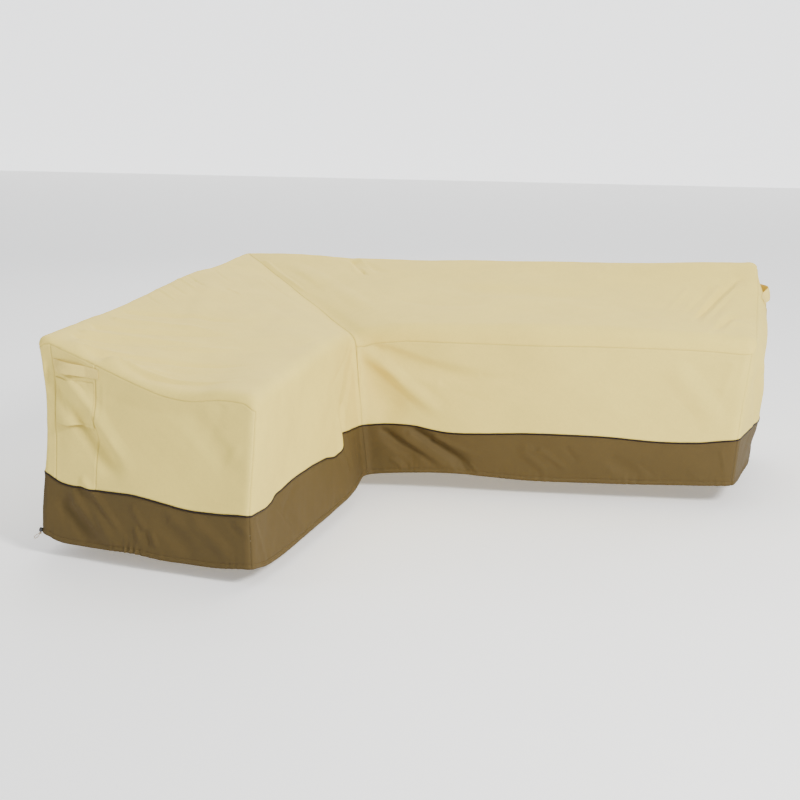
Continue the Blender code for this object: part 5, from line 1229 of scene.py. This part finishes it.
def top_places(wing, runs_down):
    """Places of a wing's top and of its soft folds over three edges, as one grid.

    Columns go from the mitre to the seam over the end, rows from the seam over the outer edge to
    the seam over the inner edge.  A top that runs down covers its inner wall to the piping too.
    """
    cells = top_cells(wing)
    g_outer, g_inner, q_end = cells
    straight, depth, turns = len(g_outer) - 1, len(q_end) - 1, len(ROLL_LEVELS)
    lower = wall_rows(INNER_SIDE_HEIGHT)[1:] if runs_down else ()
    places = np.zeros((straight + turns + 1, depth + 2 * turns + 1 + len(lower), 3))
    for column in range(straight + 1):
        g = g_outer[column:column + 1], g_inner[column:column + 1]
        q = past_roll(q_end, inset_share(wing, *g), ROLL_INSET / LENGTHS[wing.end])
        places[column, turns:turns + depth + 1] = top_place(
            wing, *(np.repeat(share, len(q)) for share in g), q)
    folded = []
    for column in range(straight + turns + 1):
        for row in range(-turns, depth + turns + 1):
            u, down = on_soft_fold(wing, cells, column, row)
            if down > 0:
                folded.append((column, row + turns, u, ROLL_LEVELS[down - 1]))
    columns, rows, u, m = np.array(folded).T
    places[columns.astype(int), rows.astype(int)] = roll_place(u, m)
    last_g = 1.0 - ROLL_INSET / LENGTHS[wing.inner] * (1.0 - np.arange(1, turns + 1) / turns)
    u = wing.inner + inner_share(wing, np.concatenate((g_inner, last_g)))
    for n, share in enumerate(lower):
        places[:, depth + 2 * turns + 1 + n] = wall_place(u, share)
    return places


def gathers(k, x):
    """Height of the drawcord's gathers at distances x along wall k."""
    size = np.full(len(x), EVEN_GATHER)
    for row in GATHERS:
        if row.wall == WALLS[k].name:
            starts = smoothstep((x - row.from_x) / GATHER_FADE)
            ends = smoothstep((row.to_x - x) / GATHER_FADE)
            size = size + row.height * starts * ends
    turn = x / GATHER_PITCH
    turn += 0.9 * np.sin(x / 0.067 + k) + 0.6 * np.sin(x / 0.151 + 2.1 * k)
    crest = np.sin(2.0 * np.pi * turn) + 0.35 * np.sin(4.4 * np.pi * turn + 1.0)
    return size * crest * (0.55 + 0.45 * np.sin(x / 0.043 + 1.7 * k) * np.sin(x / 0.107 + k))


def hem_shape(k, u, places):
    """The hem's turned channel, the groove of its stitching, and the gathers of its drawcord."""
    up = gaps(places)[2]
    height = HEM_BULGE * np.sin(np.pi * np.clip(up / HEM_DEPTH, 0.0, 1.0)) ** HEM_FULLNESS
    height -= HEM_GROOVE * gauss((up - HEM_DEPTH) / HEM_GROOVE_WIDTH)
    fade = np.exp(-np.clip(up - HEM_DEPTH, 0.0, None) / GATHER_REACH)
    return height + gathers(k, (u - k) * LENGTHS[k])[:, None] * fade


# ---------------------------------------------------------------- sewn-on pieces
def end_patch(end, metres, shares, top_row, foot_row):
    """Places and directions on an end wall between two of its rows."""
    length = LENGTHS[end.wall]
    f = metres / length
    u = end.wall + (f if end.side == "left" else 1.0 - f)
    knots = (ROLL_INSET, STRIP_END, length - ROLL_INSET)
    top, foot = (np.interp(metres, knots, ROWS[name]) for name in (top_row, foot_row))
    places = grid_of(lambda v, s: wall_place(v, top * (1.0 - s) + foot * s), u, shares)
    normal = normals_of(places, wall_guide(u, shares))
    return places + normal * waves(places)[..., None], normal


def handle(end, paint):
    """A padded strip with stitched edges, sewn flat at both ends and free in its middle."""
    metres = close_in(even(HANDLE_START, HANDLE_END, HANDLE_CELL), HANDLE_END_STEPS)
    shares = close_in(even(0.0, 1.0, HANDLE_ROW), HANDLE_EDGE_STEPS)
    places, normal = end_patch(end, metres, shares, "handle_top", "handle_foot")
    length = HANDLE_END - HANDLE_START
    x = metres - HANDLE_START
    free = np.clip((x - SEWN_START) / (length - SEWN_START - SEWN_END), 0.0, 1.0)
    lift = end.handle_bulge * np.sin(np.pi * free) ** 1.2
    across = np.abs(2.0 * shares - 1.0)[None, :]
    loose = smoothstep(free * 6.0) * smoothstep((1.0 - free) * 6.0)
    rise = PAD_RISE * (PAD_SEWN + (1.0 - PAD_SEWN) * loose)
    pad = PAD_EDGE + rise[:, None] * (1.0 - across**5)
    from_edge = (1.0 - across) * HANDLE_WIDTH / 2
    pad = pad - STITCH_DEPTH * gauss((from_edge - HANDLE_EDGE_STITCH) / HANDLE_EDGE_WIDTH)
    box_start = length - SEWN_END + HANDLE_STITCH
    for line in (HANDLE_STITCH, length - HANDLE_STITCH, box_start):
        pad = pad - STITCH_DEPTH * gauss((x[:, None] - line) / STITCH_WIDTH)
    box = (x[:, None] - box_start) / (SEWN_END - 2 * HANDLE_STITCH)
    inside = (box > 0.0) & (box < 1.0)
    for slant in (shares[None, :] - box, 1.0 - shares[None, :] - box):
        pad = pad - np.where(inside, CROSS_DEPTH * gauss(slant / CROSS_WIDTH), 0.0)
    inner = places + normal * (SEWN_CLEARANCE + lift)[:, None, None]
    item = cloth_object("look_handle_" + end.side, inner + normal * pad[..., None], inner, paint)
    stand_for(item, "handle_" + end.side, "beige_webbing")


def air_vent(end, paint):
    """A hooded flap, sewn at its top and both sides, with a turned lip that stands open."""
    start, finish = ROLL_INSET + VENT_SIDE_MARGIN, STRIP_END - VENT_SIDE_MARGIN
    metres = close_in(even(start, finish, VENT_CELL), VENT_SIDE_STEPS)
    shares = close_in(even(0.0, 1.0, VENT_ROW), VENT_EDGE_STEPS)
    places, normal = end_patch(end, metres, shares, "vent_top", "vent_lip")
    across = np.sin(np.pi * (metres - start) / (finish - start)).clip(0.0, 1.0) ** 0.8
    lift = end.vent_bulge * across[:, None] * (shares**1.3)[None, :]
    first, last, top, foot = gaps(places)
    lift = lift + VENT_LIP * np.sin(np.pi * np.clip(foot / VENT_LIP_DEPTH, 0.0, 1.0))
    lift = lift - VENT_LIP_GROOVE * gauss((foot - VENT_LIP_SEAM) / VENT_GROOVE_WIDTH)
    for distance, along in ((first, top), (last, top), (top, first)):
        lift = lift - VENT_GROOVE * gauss((distance - VENT_STITCH) / VENT_GROOVE_WIDTH)
        pucker = np.sin(along / 0.0042) * np.exp(-distance / SEAM_PUCKER_REACH)
        lift = lift + VENT_PUCKER * pucker * (foot > 0.01)
    inner = places + normal * (SEWN_CLEARANCE + np.clip(lift, VENT_LOWEST, None))[..., None]
    outer = inner + normal * VENT_THICKNESS
    item = cloth_object("look_air_vent_" + end.side, outer, inner, paint)
    stand_for(item, "air_vent_" + end.side, "beige_cloth")


# ---------------------------------------------------------------- piping and cord
def ways_along(points, closed):
    """Directions of a line at its points."""
    if closed:
        ahead = np.roll(points, -1, axis=0) - np.roll(points, 1, axis=0)
    else:
        ahead = np.gradient(points, axis=0)
    return ahead / np.linalg.norm(ahead, axis=1)[:, None]


def tube(name, middle, side, radii, sides, paint, closed):
    """A round tube along points, with a map that runs along and round it in metres.

    side is the direction from each point to the tube's first side.
    """
    upward = np.cross(ways_along(middle, closed), side)
    angle = np.linspace(0.0, 2.0 * math.pi, sides, endpoint=False)[None, :, None]
    spokes = side[:, None] * np.cos(angle) + upward[:, None] * np.sin(angle)
    rings = middle[:, None] + spokes * radii[:, None, None]
    along = np.append(walk(middle), walk(middle)[-1])
    count = len(middle)
    steps = count if closed else count - 1
    builder = bmesh.new()
    bmesh.ops.create_grid(builder, x_segments=steps, y_segments=sides, size=0.5)
    layer = builder.loops.layers.uv.new("cloth")
    for vert in builder.verts:
        i, j = round((vert.co.x + 0.5) * steps), round((vert.co.y + 0.5) * sides)
        for loop in vert.link_loops:
            loop[layer].uv = (along[i], j * 2.0 * math.pi * radii[0] / sides)
        vert.co = rings[i % count, j % sides]
    bmesh.ops.remove_doubles(builder, verts=builder.verts[:], dist=TINY)
    bmesh.ops.holes_fill(builder, edges=[e for e in builder.edges if e.is_boundary], sides=0)
    return finished(name, builder, paint)


def piping(paint):
    """The dark bead round the cover, a cord covered with cloth."""
    u = np.concatenate([k + refine(wall_stations(k), CELL / LENGTHS[k])[:-1]
                        for k in range(WALL_COUNT)])
    middle = ring(u, "piping")
    out = wall_folds(u, middle[:, 2]) - CLOTH / 2 + PIPING_PROUD
    middle = middle + facing(u) * (out + waves(middle))[:, None]
    ahead = ways_along(middle, True)
    side = facing(u) - ahead * np.sum(facing(u) * ahead, axis=1)[:, None]
    side /= np.linalg.norm(side, axis=1)[:, None]
    along = walk(middle)
    radii = PIPING_DIAMETER / 2 * (1.0 + 0.03 * np.sin(along / 0.011) * np.sin(along / 0.037))
    item = tube("look_piping", middle - ORIGIN, side, radii, PIPING_SIDES, paint, True)
    stand_for(item, "piping", "dark_piping")


def centre(node):
    low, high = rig.box(node)
    return (Vector(low) + Vector(high)) / 2


def smooth_route(route, spacing):
    """Points about a spacing apart on a smooth curve through the route's own points."""
    rows = [2 * route[0] - route[1], *route, 2 * route[-1] - route[-2]]
    dense = []
    for before, start, end, after in zip(rows, rows[1:], rows[2:], rows[3:]):
        for t in np.linspace(0.0, 1.0, ROUTE_STEPS, endpoint=False):
            dense.append(0.5 * (2 * start + (end - before) * t
                                + (2 * before - 5 * start + 4 * end - after) * t**2
                                + (3 * start - before - 3 * end + after) * t**3))
    dense = np.array((*dense, route[-1]))
    along = walk(dense)
    wanted = np.linspace(0.0, along[-1], max(2, round(along[-1] / spacing)) + 1)
    return np.stack([np.interp(wanted, along, line) for line in dense.T], axis=1), along[-1]


def cord_tube(name, points, diameter, paint, closed=False):
    """A cord along points, its sides carried along it without a twist."""
    ahead = ways_along(points, closed)
    side = np.cross(ahead[0], CORD_SIDE)
    carried = []
    for way in ahead:
        side = side - way * (side @ way)
        side = side / np.linalg.norm(side)
        carried.append(side)
    radii = np.full(len(points), diameter / 2)
    return tube(name, points, np.array(carried), radii, CORD_SIDES, paint, closed)


def turned(name, middle, axis, profile, sides, paint):
    """A solid turned about an axis; profile rows are (distance along the axis, radius)."""
    solid = bmesh.new()
    chain = [solid.verts.new((radius, 0.0, along)) for along, radius in profile]
    edges = [solid.edges.new(pair) for pair in zip(chain, chain[1:])]
    bmesh.ops.spin(solid, geom=chain + edges, axis=(0, 0, 1), cent=(0, 0, 0),
                   angle=2 * math.pi, steps=sides, use_merge=True)
    bmesh.ops.remove_doubles(solid, verts=solid.verts[:], dist=TINY)
    turn = Vector((0, 0, 1)).rotation_difference(axis).to_matrix().to_4x4()
    bmesh.ops.transform(solid, matrix=turn, verts=solid.verts[:])
    bmesh.ops.translate(solid, vec=middle, verts=solid.verts[:])
    return finished(name, solid, paint, LOCK_SHARP)


def knot_places(middle, axis):
    """A threefold knot about its middle and axis."""
    across = axis.orthogonal().normalized()
    third = axis.cross(across)
    places = []
    for t in np.linspace(0.0, 2.0 * math.pi, KNOT_POINTS, endpoint=False):
        reach = KNOT_REACH + KNOT_WAVE * math.cos(3.0 * t)
        places.append(middle + across * (reach * math.cos(2.0 * t))
                      + third * (reach * math.sin(2.0 * t)) + axis * (KNOT_RISE * math.sin(3.0 * t)))
    return np.array(places)


def cord_end(cord_paint, lock_paint):
    """The drawcord's free loop, the knot it leaves, and the sprung lock above that."""
    lock_at, knot_at = centre("cord_lock"), centre("cord_knot")
    axis = (knot_at - lock_at).normalized()
    lock = turned("look_cord_lock", lock_at, axis, LOCK_PROFILE, LOCK_SIDES, lock_paint)
    stand_for(lock, "cord_lock", "black_plastic")
    knot = cord_tube("look_cord_knot", knot_places(knot_at, axis), KNOT_CORD, cord_paint, True)
    stand_for(knot, "cord_knot", "tan_cord")
    route = [np.array(knot_at + LOOP_WAY * along + LOOP_SIDE * aside)
             for along, aside in LOOP_ROUTE]
    points, length = smooth_route(route, CORD_SPACING)
    loop = cord_tube("look_drawcord_loop", points, CORD_DIAMETER, cord_paint)
    stand_for(loop, "drawcord_loop", "tan_cord")
    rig.cord(loop, exit=points[0], length=length, diameter=CORD_DIAMETER, far_end="knot",
            stiffness="limp", lay="hanging", path=points, with_pieces=(knot, lock))


# ---------------------------------------------------------------- shader maths
class Value:
    """A number that a shader's nodes work out, written with ordinary arithmetic."""

    def __init__(self, paint, socket):
        self.paint = paint
        self.socket = socket

    def maths(self, operation, *others):
        inputs = dict(enumerate((self, *others)))
        return self.paint.node("ShaderNodeMath", {"operation": operation}, inputs)[0]

    def __add__(self, other):
        return self.maths("ADD", other)

    def __sub__(self, other):
        return self.maths("SUBTRACT", other)

    def __mul__(self, other):
        return self.maths("MULTIPLY", other)

    def __truediv__(self, other):
        return self.maths("DIVIDE", other)

    def __rsub__(self, other):
        return self.paint.node("ShaderNodeMath", {"operation": "SUBTRACT"}, {0: other, 1: self})[0]

    __radd__, __rmul__ = __add__, __mul__

    def sine(self):
        return self.maths("SINE")

    def fraction(self):
        return self.maths("FRACT")

    def size(self):
        return self.maths("ABSOLUTE")

    def at_most(self, other):
        return self.maths("MINIMUM", other)

    def at_least(self, other):
        return self.maths("MAXIMUM", other)

    def bell(self, middle, width):
        """1 at the middle, falling to 0 over the width on both sides."""
        rise = (1.0 - ((self - middle) / width).size()).at_least(0.0)
        return rise * rise * (3.0 - 2.0 * rise)


class Paint:
    """One material: its node tree, its Principled shader and short names for common nodes."""

    def __init__(self, name, roughness, sheen=0.5):
        self.material = bpy.data.materials.new(name)
        self.material.use_nodes = True
        self.tree = self.material.node_tree
        self.shader = self.tree.nodes["Principled BSDF"]
        self.set("Roughness", roughness)
        self.set("Specular IOR Level", sheen)

    def set(self, name, value):
        """Give one of the shader's sockets a constant or a worked-out value."""
        self.fill(self.shader.inputs[name], value)

    def fill(self, socket, value):
        if isinstance(value, Value):
            self.tree.links.new(value.socket, socket)
        else:
            socket.default_value = value

    def node(self, kind, settings, inputs):
        """The outputs of a new node: its settings are set first, then its sockets are filled."""
        node = self.tree.nodes.new(kind)
        for name, setting in settings.items():
            setattr(node, name, setting)
        for key, value in inputs.items():
            self.fill(node.inputs[key], value)
        return [Value(self, output) for output in node.outputs]

    def map(self, layer):
        """The two numbers of one of the mesh's maps, in metres."""
        place = self.node("ShaderNodeUVMap", {"uv_map": layer}, {})[0]
        return self.node("ShaderNodeSeparateXYZ", {}, {0: place})[:2]

    def noise(self, scale, detail, rough=0.5):
        object_place = self.node("ShaderNodeTexCoord", {}, {})[3]
        return self.node("ShaderNodeTexNoise", {}, {"Vector": object_place, "Scale": scale,
                                                    "Detail": detail, "Roughness": rough})[0]

    def colour(self, low, high, share):
        """Base colour between two colours."""
        ends = {6: (*low, 1.0), 7: (*high, 1.0), "Factor": share}
        self.set("Base Color", self.node("ShaderNodeMix", {"data_type": "RGBA"}, ends)[2])

    def bump(self, height, distance, strength):
        inputs = {"Strength": strength, "Distance": distance, "Height": height}
        self.set("Normal", self.node("ShaderNodeBump", {}, inputs)[0])


def shade(colour, factor):
    return tuple(c * factor for c in colour)


def woven_cloth(name, colour, stitches=True, hem=False, slub=1.0):
    """Coated polyester in plain weave: threads, slubs, faint unevenness, seams with painted shade along them, and
    stitches.
    """
    paint = Paint(name, CLOTH_ROUGHNESS, CLOTH_SHEEN)
    along, down = paint.map("cloth")
    warp = (along * (math.pi / THREAD)).sine()
    weft = (down * (math.pi / THREAD)).sine()
    weave = warp * weft * 0.5 + 0.5
    slubs = paint.noise(260.0, 2.0) * 0.6 + paint.noise(90.0, 3.0) * 0.4
    cloud = paint.noise(3.2, 3.0)
    wear = paint.noise(14.0, 4.0, rough=0.6)
    light = 0.5 + (cloud - 0.5) * 0.55 + (wear - 0.5) * 0.35 + (slubs - 0.5) * 0.7 * slub
    light = light + (weave - 0.5) * 0.16
    height = weave * 0.35 + slubs * 0.9 * slub
    if stitches:
        distance, way = paint.map("seam")
        row = distance.bell(STITCH_INSET, 0.0009)
        thread = (way / STITCH).fraction().bell(0.42, 0.46) * row
        # The darker band along each seam is painted shade of the seam's groove.
        light = light - distance.bell(0.0, 0.0042) * 0.85 - row * 0.22 + thread * 0.30
        height = height - row * 0.9 + thread * 1.8
    if hem:
        row = down.bell(HEM_DEPTH, 0.0010)
        thread = (along / STITCH).fraction().bell(0.42, 0.46) * row
        light = light - row * 0.30 + thread * 0.28
        height = height - row * 0.8 + thread * 1.6
    paint.colour(shade(colour, 0.86), shade(colour, 1.14), light.at_least(0.0).at_most(1.0))
    paint.set("Roughness", CLOTH_ROUGHNESS - 0.09 + cloud * 0.08 + slubs * 0.10)
    paint.bump(height, 0.00035, 0.5)
    return paint.material


def piping_paint():
    """Dark cloth pulled over a cord: fine grain and slow unevenness."""
    paint = Paint("look_dark_piping", 0.55, CLOTH_SHEEN)
    grain = paint.noise(420.0, 2.0)
    cloud = paint.noise(22.0, 3.0)
    paint.colour(shade(PIPING_BROWN, 0.7), shade(PIPING_BROWN, 1.5), cloud * 0.6 + grain * 0.4)
    paint.set("Roughness", 0.46 + grain * 0.2)
    paint.bump(grain, 0.0003, 0.5)
    return paint.material


def braided_cord():
    """Braided cord: strands that cross as they wind round it."""
    paint = Paint("look_tan_cord", 0.8)
    along, around = paint.map("cloth")
    one = ((along + around * 1.6) * (2.0 * math.pi / STRAND)).sine()
    other = ((along - around * 1.6) * (2.0 * math.pi / STRAND)).sine()
    strands = one.at_least(other) * 0.5 + 0.5
    fluff = paint.noise(900.0, 2.0)
    paint.colour(shade(TAN, 0.55), shade(TAN, 1.25), strands * 0.7 + fluff * 0.3)
    paint.set("Roughness", 0.72 + fluff * 0.16)
    paint.bump(strands + fluff * 0.4, 0.00025, 0.8)
    return paint.material


def moulded_plastic():
    """Moulded black plastic with a fine matt grain and a few rubbed places."""
    paint = Paint("look_black_plastic", 0.42)
    grain = paint.noise(1500.0, 2.0)
    rub = paint.noise(160.0, 3.0)
    paint.colour(BLACK, RUBBED_BLACK, rub * 0.7 + grain * 0.3)
    paint.set("Roughness", 0.34 + rub * 0.2)
    paint.bump(grain, 0.0001, 0.4)
    return paint.material


# ---------------------------------------------------------------- camera, light and floor
def camera():
    """The photograph's camera, fitted to the cover's corners."""
    lens = bpy.data.cameras.new("photo_camera")
    lens.sensor_width = CAMERA_SENSOR
    lens.lens = CAMERA_LENS
    lens.clip_end = CAMERA_REACH
    item = bpy.data.objects.new("photo_camera", lens)
    item.location = Vector(CAMERA_PLACE) - Vector(ORIGIN)
    item.rotation_euler = [math.radians(angle) for angle in CAMERA_TURN]
    bpy.context.scene.collection.objects.link(item)
    bpy.context.scene.camera = item


def area_light(light):
    lamp = bpy.data.lights.new(light.name, "AREA")
    lamp.shape = "RECTANGLE"
    lamp.size = light.width
    lamp.size_y = light.height
    lamp.energy = light.power
    item = bpy.data.objects.new(light.name, lamp)
    item.location = light.place
    way = Vector(LIGHT_TARGET) - Vector(light.place)
    item.rotation_euler = way.to_track_quat("-Z", "Y").to_euler()
    bpy.context.scene.collection.objects.link(item)


def stage_plane(name, place, tilt, paint, glow):
    """A large square that glows a little, tilted about its middle by so many degrees."""
    builder = bmesh.new()
    bmesh.ops.create_grid(builder, x_segments=2, y_segments=2, size=FLOOR_HALF_SIDE)
    turn = Matrix.Rotation(math.radians(tilt), 3, "X")
    bmesh.ops.rotate(builder, matrix=turn, verts=builder.verts[:])
    bmesh.ops.translate(builder, vec=place, verts=builder.verts[:])
    mesh = bpy.data.meshes.new(name)
    builder.to_mesh(mesh)
    builder.free()
    paint.set("Emission Color", (1.0, 1.0, 1.0, 1.0))
    paint.set("Emission Strength", glow)
    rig.stage(add_object(name, mesh, paint.material))


def studio():
    """A pale floor and backdrop, and soft light from above, both sides and the camera's side."""
    world = bpy.data.worlds.new("studio")
    bpy.context.scene.world = world
    world.use_nodes = True
    backdrop = world.node_tree.nodes["Background"]
    backdrop.inputs["Color"].default_value = (*WORLD_TINT, 1.0)
    backdrop.inputs["Strength"].default_value = WORLD_STRENGTH
    for light in LIGHTS:
        area_light(light)
    floor = Paint("pale_floor", 0.7)
    mottle = floor.noise(1.4, 4.0)
    floor.colour(shade(FLOOR_WHITE, 0.95), FLOOR_WHITE, mottle)
    floor.set("Roughness", 0.62 + mottle * 0.12)
    stage_plane("floor", FLOOR_PLACE, 0.0, floor, FLOOR_GLOW)
    stage_plane("backdrop", BACKDROP_PLACE, 90.0, Paint("pale_backdrop", 0.9), BACKDROP_GLOW)


# ---------------------------------------------------------------- putting it together
def tops(paint):
    for wing, name, runs_down in ((LONG_WING, "top_long", False), (SHORT_WING, "top_short", True)):
        places = top_places(wing, runs_down)
        up = np.array((0.0, 0.0, 1.0))
        yield name, sew(name, places, up, 1.0 + runs_down, paint, "beige_cloth")


def panels(paint):
    left_end, right_end = (end.wall for end in END_PIECES)
    left = left_end + np.array((ROLL_INSET, STRIP_END)) / LENGTHS[left_end]
    right = right_end + 1.0 - np.array((STRIP_END, ROLL_INSET)) / LENGTHS[right_end]
    spans = (
        ("panel_outer_short", 0.0, left[0]), ("strip_left", *left), ("panel_end_left", left[1], 2.0),
        ("panel_long_front", 3.0, 4.0), ("panel_end_right", 4.0, right[0]),
        ("strip_right", *right), ("panel_long_back", right[1], 6.0),
    )
    rows = wall_rows(PANEL_HEIGHT)
    for n, (name, start_u, end_u) in enumerate(spans):
        u = wall_columns(start_u, end_u)
        places = grid_of(wall_place, u, rows)
        yield name, sew(name, places, wall_guide(u, rows), 3.0 + n, paint, "beige_cloth")


def skirts(paint):
    rows = skirt_rows()
    for k, wall in enumerate(WALLS):
        name = "skirt_" + wall.name
        u = wall_columns(k, k + 1.0)
        places = grid_of(skirt_place, u, rows)
        yield name, sew(name, places, wall_guide(u, rows), 11.0 + k, paint, "brown_cloth",
                        hem_shape(k, u, places))


def main():
    camera()
    cord_end(braided_cord(), moulded_plastic())
    top_cloth = woven_cloth("look_beige_top", BEIGE)
    # The walls' beige is a painted-shade copy of the top's beige.
    shaded_side_cloth = woven_cloth("look_beige_side", BEIGE_SHADED_SIDE)
    handle_cloth = woven_cloth("look_beige_webbing", BEIGE_HANDLE, stitches=False, slub=1.3)
    brown_cloth = woven_cloth("look_brown_skirt", BROWN, hem=True, slub=1.1)
    sheets = [*tops(top_cloth), *panels(shaded_side_cloth), *skirts(brown_cloth)]
    for name, item in sheets:
        facts = FLAT_SIZES[name]
        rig.sheet(item, flat=(facts.width, facts.length), held=facts.held,
                 rests_on=facts.hangs_from, area=facts.area)
    piping(piping_paint())
    for end in END_PIECES:
        handle(end, handle_cloth)
        air_vent(end, shaded_side_cloth)
    studio()


main()
json.dump({"cad": [list(map(float, corner_at)) for corner_at in CAD_BOX],
           "visual": [list(map(float, corner_at)) for corner_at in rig.bounds()]},
          open("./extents.json", "w"))
